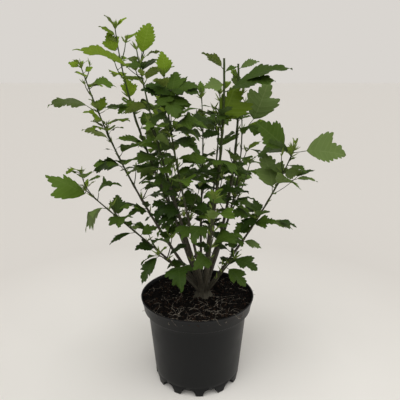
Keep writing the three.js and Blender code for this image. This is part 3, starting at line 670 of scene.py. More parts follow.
def openShare(samples):
    # how much of a piece stands before or behind the openings, seen from the front
    eye = np.array(view["place"]) / mm
    sight = samples - eye
    seen = eye + sight * (-eye[1] / sight[:, 1:2])
    within = [np.hypot(seen[:, 0] - x, seen[:, 2] - z) < r for x, z, r in openings]
    return np.any(within, axis=0).mean()


def putLeaf(index, place, at, shape, tint=None, limits=clearance["limits"],
            step=clearance["sample"]):
    # leaves of the finer growth, with a finer step, also keep out of the openings
    for swing in swings:
        leaf = makeLeaf(at, (shape[0] + swing, *shape[1:]), tint)
        samples = leafSamples(leaf, step)
        piece = occupied(samples, False, index, place)
        if (samples[:, 2] < pot["height"] + clearance["abovePot"]).any():
            continue
        if not isClear(piece, *limits):
            continue
        isFine = step < clearance["sample"]
        if isFine and (outside(samples) or openShare(samples) > clearance["fineInOpening"]):
            continue
        taken.append(piece)
        tint = tint or tintAt(place, at, shape[2], ownSeries(index, place, shape[0])())
        leaf.update({"tint": tint, "shoot": index, "place": place})
        leaves.append(leaf)
        return leaf


def putTwig(index, place, at, bearing, length, limits=clearance["limits"]):
    for swing in swings:
        way, climb = bearing + swing, twig["climb"]
        tip = at + heading(way, climb + 14) * length
        line = [at, at + heading(way, climb) * (length * 0.4),
                tip - heading(way, climb + 30) * (length / 3), tip]
        piece = occupied(lineSamples(line), True, index, place)
        if isClear(piece, *limits) and not outside(piece["samples"]):
            taken.append(piece)
            twigs.append({"line": line, "bearing": way, "place": place, "shoot": index})
            return


def growShoot(shoot, index):
    random = seededSeries(shoot["seed"])
    line, bare = lines[index], shoot["bare"]
    leafy = np.linalg.norm(line[0] - line[3]) * (1 - bare)
    count = math.floor(leafy / joint["spacing"] + 0.5)
    firstBearing = random() * 360
    isCut = "cut" in shoot
    for i in range(count):
        t = bare + 0.02 + ((0.97 - bare) * (i + 0.5)) / count
        if isCut and t > joint["highestOnCut"]:
            break
        bearing = firstBearing + i * goldenAngle
        at = pointOn(line, t)
        length = leafLength(t, random())
        rise = joint["rise"] + joint["riseGain"] * t + joint["riseSpread"] * (random() - 0.5)
        roll = joint["rollSpread"] * (random() - 0.5)
        if i % twig["every"] == 2:
            putTwig(index, t, at, bearing + 40, twig["length"] * (0.6 + 0.6 * random()))
        putLeaf(index, t, at, (bearing, rise, length, roll, stalkLength(length)))
        joints.append({"shoot": index, "place": t, "at": at, "bearing": bearing, "length": length})
    for i in range(0 if isCut else joint["tipLeaves"]):
        length = joint["smallestLeaf"] * (0.6 + 0.3 * random())
        leaf = putLeaf(index, 1, line[3], (firstBearing + i * goldenAngle, 50, length, 0, 3))
        if leaf:
            leaf.update({"wide": 0.3 if "spiky" in shoot else 0.55, "outline": 0})
    for own in [t for t in twigs if t["shoot"] == index]:
        for i in range(twig["leaves"]):
            length = 18 + 12 * random() + 5 * i
            bearing = own["bearing"] + (180 * i - 120 if i else 0)
            rise = 15 + 20 * random()
            putLeaf(index, own["place"], pointOn(own["line"], 1 - 0.26 * i),
                    (bearing, rise, length, 0, stalkLength(length)))


for index, shoot in enumerate(shoots):
    for place, bearing, rise, length, roll, stalk, tint, *drawn in shoot["leaves"]:
        leaf = putLeaf(index, place, pointOn(lines[index], place),
                       (bearing, rise, length, roll, stalk), tint)
        for change in drawn:
            if "shape" in change:
                leaf.update(makeLeaf(leaf["at"], change["shape"], tint, change.get("stalkWay")))
            leaf.update(change)
featureLeaves = list(leaves)
for leaf in featureLeaves:
    leaf["shapes"] = True
for index, shoot in enumerate(shoots):
    growShoot(shoot, index)
print("rule placed", len(leaves), "leaves and", len(twigs), "twigs")
leaves[len(featureLeaves):] = [
    leaf for leaf in leaves[len(featureLeaves):]
    if openShare(leafSamples(leaf, clearance["fineSample"])) < clearance["ruleInOpening"]]
shootNames = [shoot["name"] for shoot in shoots]
for name, place, bearing, rise, length, roll, stalk, tint, drawn in ownLeaves:
    index = shootNames.index(name)
    leaf = makeLeaf(pointOn(lines[index], place), (bearing, rise, length, roll, stalk), tint,
                    drawn.get("stalkWay"))
    leaf.update({"shoot": index, "place": place, "shapes": True, **drawn})
    leaves.append(leaf)
    taken.append(occupied(leafSamples(leaf, clearance["fineSample"]), False, index, place))

# Finer growth the solids leave out: more side twigs, and the smaller leaves of each joint's side
# buds, all inside the same reach and off the limbs and leaves that are there already.
fine = {
    "everyTwig": 3, "twigLength": (18, 34), "share": (0.75, 1.15), "limits": (3.0, 2.6),
    # share of the joints at 300 mm that bear side leaves, and more for each mm above
    "bearing": (0.16, 0.007),
    # each side leaf's turn from the joint's own: two at a joint, two on a twig, two beside a
    # leaf that shapes the crown, up to a place near the shoot's end
    "turns": (80, -100), "besideTurns": (70, -90), "besideUpTo": (0.96, 0.92),
}


def growFiner():
    random = seededSeries(907)
    between = spanOf(random)

    def sprout(spot, place, at, shape):
        putLeaf(spot["shoot"], place, at, shape, None, fine["limits"], clearance["fineSample"])

    for spot in joints[::fine["everyTwig"]]:
        putTwig(spot["shoot"], spot["place"] + 0.001, spot["at"], spot["bearing"] - 60,
                between(*fine["twigLength"]), fine["limits"])
    for turn in fine["turns"]:
        for spot in joints:
            if random() > fine["bearing"][0] + (spot["at"][2] - 300) * fine["bearing"][1]:
                continue
            length = max(16.0, spot["length"] * between(*fine["share"]))
            bearing = spot["bearing"] + turn + between(-25, 25)
            sprout(spot, spot["place"] + 0.05, spot["at"],
                   (bearing, between(0, 50), length, between(-30, 30), 2 + 0.2 * length))
    for own in twigs:
        for i, place in enumerate((1.0, 0.6)):
            length = between(20, 38)
            shape = (own["bearing"] + goldenAngle * i + between(-30, 30), between(5, 50), length,
                     between(-20, 20), 3 + 0.15 * length)
            sprout(own, own["place"], pointOn(own["line"], place), shape)
    for leaf in featureLeaves:
        if leaf["place"] > fine["besideUpTo"]["cut" in shoots[leaf["shoot"]]]:
            continue
        for turn in fine["besideTurns"]:
            length = between(13, 26)
            shape = (leaf["bearing"] + turn + between(-20, 20), between(15, 60), length, 0,
                     2 + 0.15 * length)
            sprout(leaf, leaf["place"] + 0.04, leaf["at"], shape)


growFiner()
print("with finer growth", len(leaves), "leaves")

leafForm = {
    "slant": 0.55,      # how far the side veins sweep forward
    "toothDepth": 0.034,
    "quilt": 0.012,     # rise of the blade between its side veins
    "ripple": 0.030,
    "droop": 0.20, "curl": 0.7, "twist": 0.9, "lean": 0.16,
    # for each size: shorter than this in millimetres, teeth, columns of faces, and how deeply
    # each of its outlines is lobed
    "sizes": {
        "small": (20, 4, 4, (0.0, 0.15, 0.3, 0.45, 0.6, 0.8, 0.9)),
        "medium": (36, 6, 6, (0.1, 0.3, 0.5, 0.7, 0.85, 1.0, 1.1)),
        "large": (999, 7, 8, (0.15, 0.35, 0.55, 0.7, 0.85, 1.0, 1.1)),
    },
}
# Half outlines (along, across) of a plain leaf and of a three-lobed one, as shares of the length.
plainOutline = [(0, 0.004), (0.05, 0.07), (0.14, 0.17), (0.27, 0.27), (0.40, 0.32), (0.53, 0.30),
                (0.67, 0.235), (0.82, 0.14), (0.93, 0.06), (1.0, 0.0)]
lobedOutline = [(0, 0.004), (0.03, 0.08), (0.10, 0.18), (0.20, 0.275), (0.32, 0.35), (0.44, 0.40),
                (0.55, 0.42), (0.62, 0.385), (0.61, 0.30), (0.585, 0.205), (0.68, 0.205),
                (0.80, 0.185), (0.91, 0.11), (1.0, 0.0)]


def outlineAt(outline, share):
    # the point a share of the way round a half outline
    steps = [math.dist(a, b) for a, b in zip(outline, outline[1:])]
    left = share * sum(steps)
    for (a, b), step in zip(zip(outline, outline[1:]), steps):
        if left <= step:
            f = left / step
            return a[0] + (b[0] - a[0]) * f, a[1] + (b[1] - a[1]) * f
        left -= step
    return outline[-1]


def leafRows(teeth, isFine, lobe, seed):
    # rows of the blade: (place on the midrib, edge point's place along, and its place across);
    # each tooth is a notch, a round belly and a blunt point
    random = seededSeries(seed)
    marks = [(0.0, 0), (0.12, 0), (0.2, 0.1)]
    start, stop = 0.27, 0.985
    step = (stop - start) / teeth
    profile = ((0.32, 0.45), (0.58, 1.0), (0.82, 0.8)) if isFine else ((0.62, 1.0),)
    for i in range(teeth):
        big = 0.55 + 0.9 * random()
        marks.append((start + step * i, -0.6 * big))
        marks += [(start + step * (i + part), rise * big) for part, rise in profile]
    rows = []
    for share, tooth in marks + [(1.0, 0)]:
        plain, lobed = outlineAt(plainOutline, share), outlineAt(lobedOutline, share)
        along, across = (p + (q - p) * lobe for p, q in zip(plain, lobed))
        depth = leafForm["toothDepth"] * tooth * (1.0 if isFine else 1.3)
        depth *= min(1.0, 7 * (1.02 - share))
        middle = along - leafForm["slant"] * across * math.sqrt(max(0.0, 1 - along * 0.6))
        rows.append((max(middle, rows[-1][0] + 0.004 if rows else 0.0), along + 0.5 * depth,
                     max(across + depth, 0.0)))
    rows[-1] = (1.0, 1.0, 0.0)
    return np.array(rows)


# The two halves of one outline are not alike.
rowSets = {
    size: [[leafRows(teeth, size == "large", lobe * share, i + seed)
            for share, seed in ((1, 0), (0.92, 50))] for i, lobe in enumerate(lobes)]
    for size, (limit, teeth, columns, lobes) in leafForm["sizes"].items()
}


def addBlade(heap, leaf, random):
    # "slack" is how far a blade hangs and buckles; the leaves that shape the crown are stiffer
    length = leaf["length"]
    size = next(name for name, form in leafForm["sizes"].items() if length <= form[0])
    choice = int(random() * 6.99)  # one of seven outlines
    outline = leaf.get("outline", choice)
    pair = outline if isinstance(outline, tuple) else (outline, outline)
    leftRows, rightRows = [rowSets[size][k][i] for i, k in enumerate(pair)]
    columns = leafForm["sizes"][size][2]
    phase, tone = random() * 6.28, random()
    slack = leaf.get("slack", 0.22 if leaf.get("shapes") else 0.7 + 1.6 * random())
    slack *= min(1.3, length / 34)
    droop = leafForm["droop"] * slack
    curl = leafForm["curl"] * slack * (random() - 0.35)
    twist = leafForm["twist"] * slack * (random() - 0.5)
    lean = leafForm["lean"] * (random() - 0.5)
    s = np.linspace(-1, 1, columns + 1)[None, :]
    out = np.abs(s)
    middle = (leftRows[:, 0:1] + rightRows[:, 0:1]) / 2
    edgeAlong = np.where(s < 0, leftRows[:, 1:2], rightRows[:, 1:2])
    edgeAcross = np.where(s < 0, leftRows[:, 2:3], rightRows[:, 2:3])
    edgeAcross = edgeAcross * (1 - leaf.get("taper", 0.0) * np.clip((middle - 0.4) / 0.3, 0, 1))
    across = s * edgeAcross * np.where(s > 0, leaf.get("right", 1.0), leaf.get("left", 1.0))
    along = middle + (edgeAlong - middle) * out ** 1.15
    ripple = leafForm["ripple"] * (0.6 + slack) * np.sin(11 * middle + phase)
    height = (blade["arch"] * 4 * along * (1 - along) + blade["fold"] * np.abs(across)
              - droop * along ** 2 - curl * across ** 2 * 1.6
              + leafForm["quilt"] * np.abs(np.sin(8 * math.pi * middle)) * (1 - s * s)
              + ripple * s * out * np.minimum(1, 3 * middle) + twist * along * across)
    aside = (across + lean * along * (1 - along) * 2) * leaf.get("wide", 1.0)
    # a drooping blade is drawn in a little, so that its length stays the same
    reach = along * (1 - 0.35 * droop * along)
    parts = ((reach, "along"), (aside, "side"), (height, "normal"))
    points = leaf["base"] + length * leaf.get("size", 1.0) * sum(
        amount[..., None] * leaf[way] for amount, way in parts)
    maps = np.stack([0.5 + s * edgeAcross, np.broadcast_to(middle, across.shape)], -1)
    wide = columns + 1
    faces = [(a, a + wide, a + wide + 1, a + 1) for r in range(len(middle) - 1)
             for a in range(r * wide, r * wide + columns)]
    heap.add(points.reshape(-1, 3), faces, maps.reshape(-1, 2), tone)


def makeLeaves():
    heaps = {name: Heap() for name in tints}
    for leaf in leaves:
        series = ownSeries(leaf["shoot"], leaf["place"], leaf["bearing"])
        addBlade(heaps[leaf["tint"]], leaf, series)
    nodes = ["foliage_" + name for name in shootNames]
    for name, heap in heaps.items():
        heap.piece("leaves_" + name, leafLooks[name], "foliage", nodes)
        nodes = ()
    print("blades:", {name: len(heap.faces) for name, heap in heaps.items()}, "faces")


makeLeaves()


# Limbs: bark, green shoots, twigs and leaf stalks.
def addTube(heap, centres, radii, sides):
    # a radius is one number, or one for each side
    side, points = None, []
    for i, centre in enumerate(centres):
        along = unit(centres[min(i + 1, len(centres) - 1)] - centres[max(i - 1, 0)])
        if side is None:
            side = np.array([1.0, 0, 0] if abs(along[2]) > 0.9 else [0, 0, 1.0])
        side = unit(side - along * side.dot(along))
        across = np.cross(along, side)
        for k, (c, s) in enumerate(turnsOf(sides)):
            radius = radii[i][k] if isinstance(radii[i], list) else radii[i]
            points.append(centre + (side * c + across * s) * radius)
    heap.add(points, tubeFaces(len(centres), sides))


barkRelief = {"rib": 0.06, "lump": 0.14, "nodeSwell": 0.35, "nodeLength": 5.0, "lumpLength": 7}


def shootTube(heap, shoot, index, start, stop):
    line = lines[index]
    length = np.linalg.norm(line[0] - line[3])
    thinnest = limb["cutRadius" if "cut" in shoot else "tipRadius"]
    spots = sorted(j["place"] for j in joints if j["shoot"] == index)
    steps = max(4, math.ceil(length * (stop - start) / limb["stepLength"]))
    centres, radii = [], []
    for i in range(steps + 1):
        t = start + (stop - start) * i / steps
        radius = shoot["radius"] + (thinnest - shoot["radius"]) * t
        radius *= 1 - 0.22 * min(1, 2 * t)
        near = [math.exp(-((t - spot) * length / barkRelief["nodeLength"]) ** 2) for spot in spots]
        radius *= 1 + barkRelief["nodeSwell"] * (0.6 if t < 0.4 else 1.0) * sum(near)
        ring = []
        for k, (c, s) in enumerate(turnsOf(limb["sides"])):
            lump = noise.noise(Vector((
                c * 1.3, s * 1.3, t * length / barkRelief["lumpLength"] + 40 * index)))
            rib = math.cos(10 * math.pi * k / limb["sides"] + 3 * t) * (1 - t)
            ring.append(radius * (1 + barkRelief["lump"] * lump + barkRelief["rib"] * rib))
        centres.append(pointOn(line, t))
        radii.append(ring)
    addTube(heap, centres, radii, limb["sides"])


def addStump(heap):
    levels = [(1.12, -2.5), (1.0, 0.2), (0.9, 2.5), (0.83, 5), (0.79, 9), (0.77, 13), (0.76, 17),
              (0.74, 22), (0.66, 26), (0.52, 29.5), (0.3, 31.6), (0.08, 32)]
    centres, radii = [], []
    for share, rise in levels:
        lean = stump["leanX"] * rise / stump["height"]
        centres.append(np.array([stump["x"] + lean, stump["y"], soil["crownHeight"] + rise]))
        flare = max(0.0, 1 - rise / 9)
        ring = []
        for k, (c, s) in enumerate(turnsOf(stump["sides"])):
            turn = 2 * math.pi * k / stump["sides"]
            buttress = (1 + 0.10 * flare * math.cos(5 * turn + 0.6)
                        + 0.05 * math.cos(9 * turn + rise * 0.2))
            rough = 1 + 0.10 * noise.noise(Vector((c * 2, s * 2, rise / 5)))
            ring.append(stump["flareRadius"] * share * buttress * rough)
        radii.append(ring)
    addTube(heap, centres, radii, stump["sides"])


def makeLimbs():
    bark, green, cut = Heap(), Heap(), Heap()
    addStump(bark)
    for index, shoot in enumerate(shoots):
        shootTube(bark, shoot, index, 0.0, 0.5)
        shootTube(green, shoot, index, 0.5, 1.0)
        if "cut" in shoot:
            tip = pointOn(lines[index], 1.0)
            along = unit(tip - pointOn(lines[index], 0.999))
            radii = [limb["cutRadius"] * 1.02, limb["cutRadius"] * 0.9]
            addTube(cut, [tip, tip + along * 0.35], radii, 12)
    shares = [i / twig["steps"] for i in range(twig["steps"] + 1)]
    radii = [twig["radius"] + (twig["tipRadius"] - twig["radius"]) * f for f in shares]
    for own in twigs:
        addTube(green, [pointOn(own["line"], f) for f in shares], radii, 6)
    for leaf in leaves:
        start, end = leaf["at"], leaf["base"] + leaf["along"] * 0.4
        sag = leaf["normal"] * (-0.05 * np.linalg.norm(end - start))
        radius = min(leafStalk["radius"], 0.25 + 0.008 * leaf["length"])
        centres = [start + (end - start) * f + sag * (4 * f * (1 - f))
                   for f in (0, 0.25, 0.5, 0.75, 1)]
        addTube(green, centres, [radius * part for part in (1.5, 1.05, 1, 1, 0.9)], 5)
    boughs = ["bough_" + name for name in shootNames]
    bark.piece("bark", looks["bark"], "bark", ["stump"] + boughs)
    green.piece("green_shoots", looks["green"], "bark")
    cut.piece("cut_tops", looks["cut"], "bark")
    print("limbs:", len(bark.faces) + len(green.faces), "faces")


makeLimbs()


# Small things that repeat, by Geometry Nodes: copies of one object set on points.
def copiesTree(name, sockets, lay):
    # "lay" gives the points, and the copies' turn and size
    group = bpy.data.node_groups.new(name, "GeometryNodeTree")
    sockets = {"Geometry": "Geometry", "Copied": "Object", **sockets, "Material": "Material"}
    for label, kind in sockets.items():
        group.interface.new_socket(label, in_out="INPUT", socket_type="NodeSocket" + kind)
    group.interface.new_socket("Geometry", in_out="OUTPUT", socket_type="NodeSocketGeometry")
    add = partial(addNode, group)
    source = add("NodeGroupInput")
    copied = add("GeometryNodeObjectInfo", {"Object": source["Copied"]})["Geometry"]
    layout = lay(add, source)
    if "Smallest" in sockets:
        size = add("FunctionNodeRandomValue", {
            2: source["Smallest"], 3: source["Largest"], "Seed": source["Seed"]},
            data_type="FLOAT")
        layout["Scale"] = size[1]
    laid = add("GeometryNodeInstanceOnPoints", {"Instance": copied, **layout})
    real = add("GeometryNodeRealizeInstances", {"Geometry": laid[0]})
    paint = add("GeometryNodeSetMaterial", {"Geometry": real[0], "Material": source["Material"]})
    add("NodeGroupOutput", {"Geometry": paint[0]})
    return group


def strewn(add, source):
    # over a surface, turned at random
    spread = add("GeometryNodeDistributePointsOnFaces", {
        "Mesh": source["Geometry"], "Density": source["Per Square Metre"],
        "Seed": source["Seed"]})
    tilt = source["Tilt"]
    back = add("Math", {0: tilt, 1: -1.0}, operation="MULTIPLY")[0]
    low = add("CombineXYZ", {0: back, 1: back, 2: 0.0})
    high = add("CombineXYZ", {0: tilt, 1: tilt, 2: 6.283})
    turn = add("FunctionNodeRandomValue", {
        0: low[0], 1: high[0], "Seed": source["Seed"]}, data_type="FLOAT_VECTOR")
    return {"Points": spread["Points"], "Rotation": turn[0]}


def aimed(add, source):
    # on points, each turned the way of its point's "aim"
    aim = add("GeometryNodeInputNamedAttribute", {"Name": "aim"}, data_type="FLOAT_VECTOR")
    turn = add("FunctionNodeAlignRotationToVector", {"Vector": aim[0]}, axis="Z")
    return {"Points": source["Geometry"], "Rotation": turn[0]}


def ringed(add, source):
    # round a circle, each turned to face outwards
    ring = add("GeometryNodeMeshCircle", {"Radius": 0.001, "Vertices": source["Count"]})
    index = add("GeometryNodeInputIndex")
    step = add("Math", {0: 2 * math.pi, 1: source["Count"]}, operation="DIVIDE")
    angle = add("Math", {0: index[0], 1: step[0], 2: source["First Bearing"]},
                operation="MULTIPLY_ADD")
    turn = add("CombineXYZ", {2: angle[0]})
    centre = add("GeometryNodeSetPosition", {"Position": (0, 0, 0), "Geometry": ring[0]})
    return {"Points": centre[0], "Rotation": turn[0]}


def grownFrom(source, group, values, name, material):
    # runs the tree on a source object and keeps its result as one plain mesh
    values["Material"] = material
    modifier = source.modifiers.new("grow", "NODES")
    modifier.node_group = group
    for item in group.interface.items_tree:
        if item.item_type == "SOCKET" and item.in_out == "INPUT" and item.name in values:
            modifier[item.identifier] = values[item.name]
    state = bpy.context.evaluated_depsgraph_get()
    state.update()
    mesh = bpy.data.meshes.new_from_object(source.evaluated_get(state))
    mesh.name = name
    source.modifiers.remove(modifier)
    bpy.data.objects.remove(values["Copied"])
    piece = bpy.data.objects.new(name, mesh)
    bpy.context.scene.collection.objects.link(piece)
    return finishPiece(piece, material)


def soilHeight(x, y):
    # the peat's surface: crowned, lumpy, a little lower at the wall
    r = math.hypot(x, y) / soil["edgeRadius"]
    lumps = noise.fractal(Vector((x / 9, y / 9, 3.1)), 0.9, 2.1, 5) * soil["lumps"]
    broad = noise.noise(Vector((x / 38, y / 38, 7.7))) * 2.0
    rough = (lumps + broad - 1.4) * (1 - r ** 12 * 0.6)
    return soil["crownHeight"] - soil["edgeDrop"] * r ** 3 + rough


def makeSoil():
    # the surface ring by ring, then down the inside of the pot's wall
    rings, sides = soil["rings"], soil["sides"]
    points = [(0.0, 0.0, soilHeight(0, 0))]
    for i in range(1, rings + 1):
        r = soil["edgeRadius"] * i / rings
        points += [(r * c, r * s, soilHeight(r * c, r * s)) for c, s in turnsOf(sides)]
    fan = [(0, 1 + k, 1 + (k + 1) % sides) for k in range(sides)]
    surface = newObject("soil_surface", [[c * mm for c in p] for p in points],
                        fan + ringFaces(rings, sides, 1, flip=True), helper=True)
    inner = pot["wall"] + 0.6
    foot = pot["height"] - pot["collarHeight"]
    profile = [(pot["collarFootRadius"], foot + 2), (pot["neckRadius"], foot - pot["neckDrop"]),
               (pot["heelRadius"], pot["heelHeight"] + 2),
               (pot["baseRadius"], pot["baseHeight"] + 2.4)]
    for radius, height in profile:
        r = radius - inner
        points += [(r * c, r * s, height) for c, s in turnsOf(sides)]
    heap = Heap()
    bottom = tuple(len(points) - 1 - k for k in range(sides))
    heap.add(points, fan + ringFaces(rings + len(profile), sides, 1, flip=True) + [bottom])
    heap.piece("soil_body", looks["peat"], "soil", ["soil"])
    return surface


def crumb(name, stretch, seed):
    # an irregular lump about a millimetre across, drawn out by stretch
    lump = bmesh.new()
    bmesh.ops.create_icosphere(lump, subdivisions=1, radius=0.5)
    points = [Vector([c * f for c, f in zip(v.co, stretch)])
              * (1 + 0.5 * noise.noise(v.co * 3 + Vector((seed, 0, 0)))) for v in lump.verts]
    faces = [[v.index for v in f.verts] for f in lump.faces]
    lump.free()
    return newObject(name, points, faces, helper=True)


def strand(name, bends, thickness):
    # a curved fibre one unit long, four-sided
    heap = Heap()
    centres = [np.array([i / 8 - 0.5, bends[0] * math.sin(i * 0.7),
                         bends[1] * math.sin(i * 0.5 + 1)]) for i in range(9)]
    addTube(heap, centres, [thickness] * 9, 4)
    return newObject(name, heap.points, heap.faces, helper=True)


# what lies on the soil: name, form, how many to the square metre, smallest and largest in metres,
# tilt, look
soilBits = [
    ("peat_crumbs", ("crumb", (1.0, 0.8, 0.7)), 95000, 0.0012, 0.0034, 3.1, "peat"),
    ("bark_chips", ("crumb", (1.0, 0.45, 0.3)), 16000, 0.0025, 0.0085, 0.6, "chip"),
    ("grit_flecks", ("crumb", (1.0, 0.7, 0.5)), 5200, 0.0009, 0.0027, 3.1, "fleck"),
    ("soil_fibres", ("strand", (0.10, 0.05)), 5200, 0.007, 0.026, 0.35, "fibre"),
]


def makeSoilBits(surface):
    tree = copiesTree("strewn_bits", {
        "Per Square Metre": "Float", "Seed": "Int", "Smallest": "Float", "Largest": "Float",
        "Tilt": "Float"}, strewn)
    for number, (name, (kind, form), density, low, high, tilt, look) in enumerate(soilBits):
        bit = (crumb(name + "_bit", form, number) if kind == "crumb"
               else strand(name + "_bit", form, 0.011))
        grownFrom(surface, tree, {
            "Copied": bit, "Per Square Metre": float(density), "Seed": 11 + number,
            "Smallest": low, "Largest": high, "Tilt": tilt}, name, looks[look])
    bpy.data.objects.remove(surface)
    print("soil made")


makeSoilBits(makeSoil())

rootlets = {
    "count": 44, "step": 1.8, "steps": (8, 24), "turn": 24, "radius": (0.2, 0.4), "seed": 77,
    "bearing": (-135, -15), "distance": (34, 92), "hang": 11,
}


def rootHeight(x, y, fallen):
    # a root lies on the peat, climbs over the rim and hangs down outside it
    r, rim = math.hypot(x, y), pot["rimRadius"]
    if r < rim - 4.5:
        return x, y, soilHeight(x, y) + 0.7, fallen
    if r < rim - 0.5:
        return x, y, pot["height"] + 0.25, fallen
    fallen += rootlets["step"]
    share = (rim + 0.35 - 0.17 * fallen) / r
    return x * share, y * share, pot["height"] + 0.2 - fallen, fallen


def makeRootlets():
    # fine dead roots washed to the top of the peat towards the front, some over the rim
    random = seededSeries(rootlets["seed"])
    between = spanOf(random)
    heap = Heap()
    for i in range(rootlets["count"]):
        bearing = math.radians(between(*rootlets["bearing"]))
        distance = between(*rootlets["distance"])
        x, y = distance * math.cos(bearing), distance * math.sin(bearing)
        way, bend = between(-180, 180), between(-1, 1) * rootlets["turn"]
        centres, fallen = [], 0.0
        for step in range(int(between(*rootlets["steps"]))):
            px, py, pz, fallen = rootHeight(x, y, fallen)
            centres.append(np.array([px, py, pz + 0.35 * random()]))
            if fallen > rootlets["hang"]:
                break
            bend = 0.75 * bend + between(-1, 1) * rootlets["turn"] * 0.5
            way += bend
            x += rootlets["step"] * math.cos(math.radians(way))
            y += rootlets["step"] * math.sin(math.radians(way))
        if len(centres) > 3:
            thick, last = between(*rootlets["radius"]), len(centres) - 1
            addTube(heap, centres, [thick * (1 - 0.6 * k / last) for k in range(last + 1)], 4)
    heap.piece("rootlets", looks["rootlet"], "soil")


makeRootlets()


def turnedPiece(name, profile, turns, nodes=()):
    # a closed ring of profile points turned round the axis
    heap = Heap()
    points = [(r * c, r * s, z) for c, s in turnsOf(turns) for r, z in profile]
    heap.add(points, ringFaces(turns, len(profile), closed=True))
    return heap.piece(name, looks["pot"], "pot", nodes)


def arc(cx, cz, radius, start, stop, steps):
    turns = [math.radians(start + (stop - start) * i / steps) for i in range(steps + 1)]
    return [(cx + radius * math.cos(turn), cz + radius * math.sin(turn)) for turn in turns]


def makePot():
    top, wall, lip = pot["height"], pot["wall"], pot["lipThickness"]
    rim, collar, neck = pot["rimRadius"], pot["collarFootRadius"], pot["neckRadius"]
    heel, heelTop, base, floor = (
        pot[key] for key in ("heelRadius", "heelHeight", "baseRadius", "baseHeight"))
    foot = top - pot["collarHeight"]
    drop = foot - pot["neckDrop"]
    outer = [(0.02, floor), (base - 5, floor), *arc(base - 3.2, floor + 3.2, 3.2, -90, -8, 5),
             (heel - 0.3, heelTop - 2), (heel + 0.2, heelTop + 3)]
    outer += [(heel + (neck - heel) * i / 12, heelTop + (drop - heelTop) * i / 12)
              for i in range(1, 12)]
    outer += [(neck, drop - 1.2), (neck + 0.7, foot - 2.5), (collar - 1.6, foot - 0.9),
              *arc(collar - 0.9, foot + 0.4, 1.3, -70, -5, 4), (collar + 1.3, foot + 7),
              (rim - 1.5, top - 7), (rim - 1.0, top - 4.5),
              *arc(rim - lip / 2, top - lip / 2, lip / 2, -40, 150, 8)]
    inner = [(rim - lip - 0.4, top - 5), (collar - wall, foot + wall), (neck - wall, drop + wall),
             (heel - wall, heelTop + wall), (base - wall - 2, floor + wall), (0.02, floor + wall)]
    shell = turnedPiece("pot_shell", outer + inner, pot["turns"], ["pot"])
    # drain holes between the feet
    holes = bmesh.new()
    step = 360 / pot["footCount"]
    for i in range(pot["footCount"]):
        turn = math.radians(pot["firstFoot"] + step * (i + 0.5))
        radius = pot["drainRadius"] * mm
        made = bmesh.ops.create_cone(holes, cap_ends=True, segments=20, radius1=radius,
                                     radius2=radius, depth=8 * mm)
        centre = (pot["drainRing"] * math.cos(turn), pot["drainRing"] * math.sin(turn), 8.8)
        bmesh.ops.translate(holes, verts=made["verts"], vec=Vector(centre) * mm)
    tool = newObject("drains", [], helper=True)
    holes.to_mesh(tool.data)
    holes.free()
    cut = shell.modifiers.new("drain", "BOOLEAN")
    cut.object, cut.solver = tool, "EXACT"
    state = bpy.context.evaluated_depsgraph_get()
    mesh = bpy.data.meshes.new_from_object(shell.evaluated_get(state))
    shell.modifiers.remove(cut)
    old, shell.data = shell.data, mesh
    bpy.data.meshes.remove(old)
    bpy.data.objects.remove(tool)
    mesh.set_sharp_from_angle(angle=sharpAngle)


# A foot's height levels: height, half width, how far its outer face stands off the wall's slope.
footLevels = [(0.0, 4.2, -0.9), (0.9, 5.6, -0.1), (3.0, 6.4, 0.0), (6.0, 7.0, 0.0),
              (8.5, 8.2, 0.0), (10.5, 10.2, 0.0), (12.0, 12.6, 0.0), (13.5, 16.0, -0.3),
              (17.0, 16.0, -0.4)]


def makeFeet():
    # a foot follows the round wall's slope down to the ground and spreads into the wall above
    rise = pot["height"] - pot["collarHeight"] - pot["heelHeight"]
    slope = (pot["neckRadius"] - pot["heelRadius"]) / rise
    columns, points = 6, []
    for height, half, proud in footLevels:
        outer = pot["heelRadius"] - slope * (pot["heelHeight"] - height) + 0.15 + proud
        depth = pot["footDepth"] + 2 * proud if height < pot["baseHeight"] else 2.4
        for radius, order in ((outer, 1), (outer - depth, -1)):
            for k in range(columns + 1):
                y = order * half * (2 * k / columns - 1)
                points.append((math.sqrt(radius ** 2 - y ** 2) * mm, y * mm, height * mm))
    faces = tubeFaces(len(footLevels), 2 * (columns + 1))
    seat = newObject("foot_seat", [(0, 0, 0)], helper=True)
    tree = copiesTree("feet_round_base", {"Count": "Int", "First Bearing": "Float"}, ringed)
    feet = grownFrom(seat, tree, {
        "Copied": newObject("foot_shape", points, faces, helper=True), "Count": pot["footCount"],
        "First Bearing": math.radians(pot["firstFoot"])}, "pot_feet", looks["pot"])
    feet.data.polygons.foreach_set("use_smooth", [True] * len(feet.data.polygons))
    bpy.data.objects.remove(seat)
    wide, high = pot["padRadius"], pot["padHeight"]
    profile = [(0.02, 0.0), (wide - 1, 0.0), (wide, 1.0), (wide, high), (0.02, high)]
    boss = turnedPiece("pot_boss", profile, 48)
    for piece in (feet, boss):
        piece.data.set_sharp_from_angle(angle=sharpAngle)


makePot()
makeFeet()
print("pot made")

# Buds and narrow young leaves at the shoot ends: how many to each place, how far they spread in
# degrees, and their lengths in metres.
tufts = {"atTip": 13, "atTwig": 7, "atJoint": 3, "atSpiky": 22, "spread": 44, "spikySpread": 42,
         "shortest": 0.0055, "longest": 0.0165}


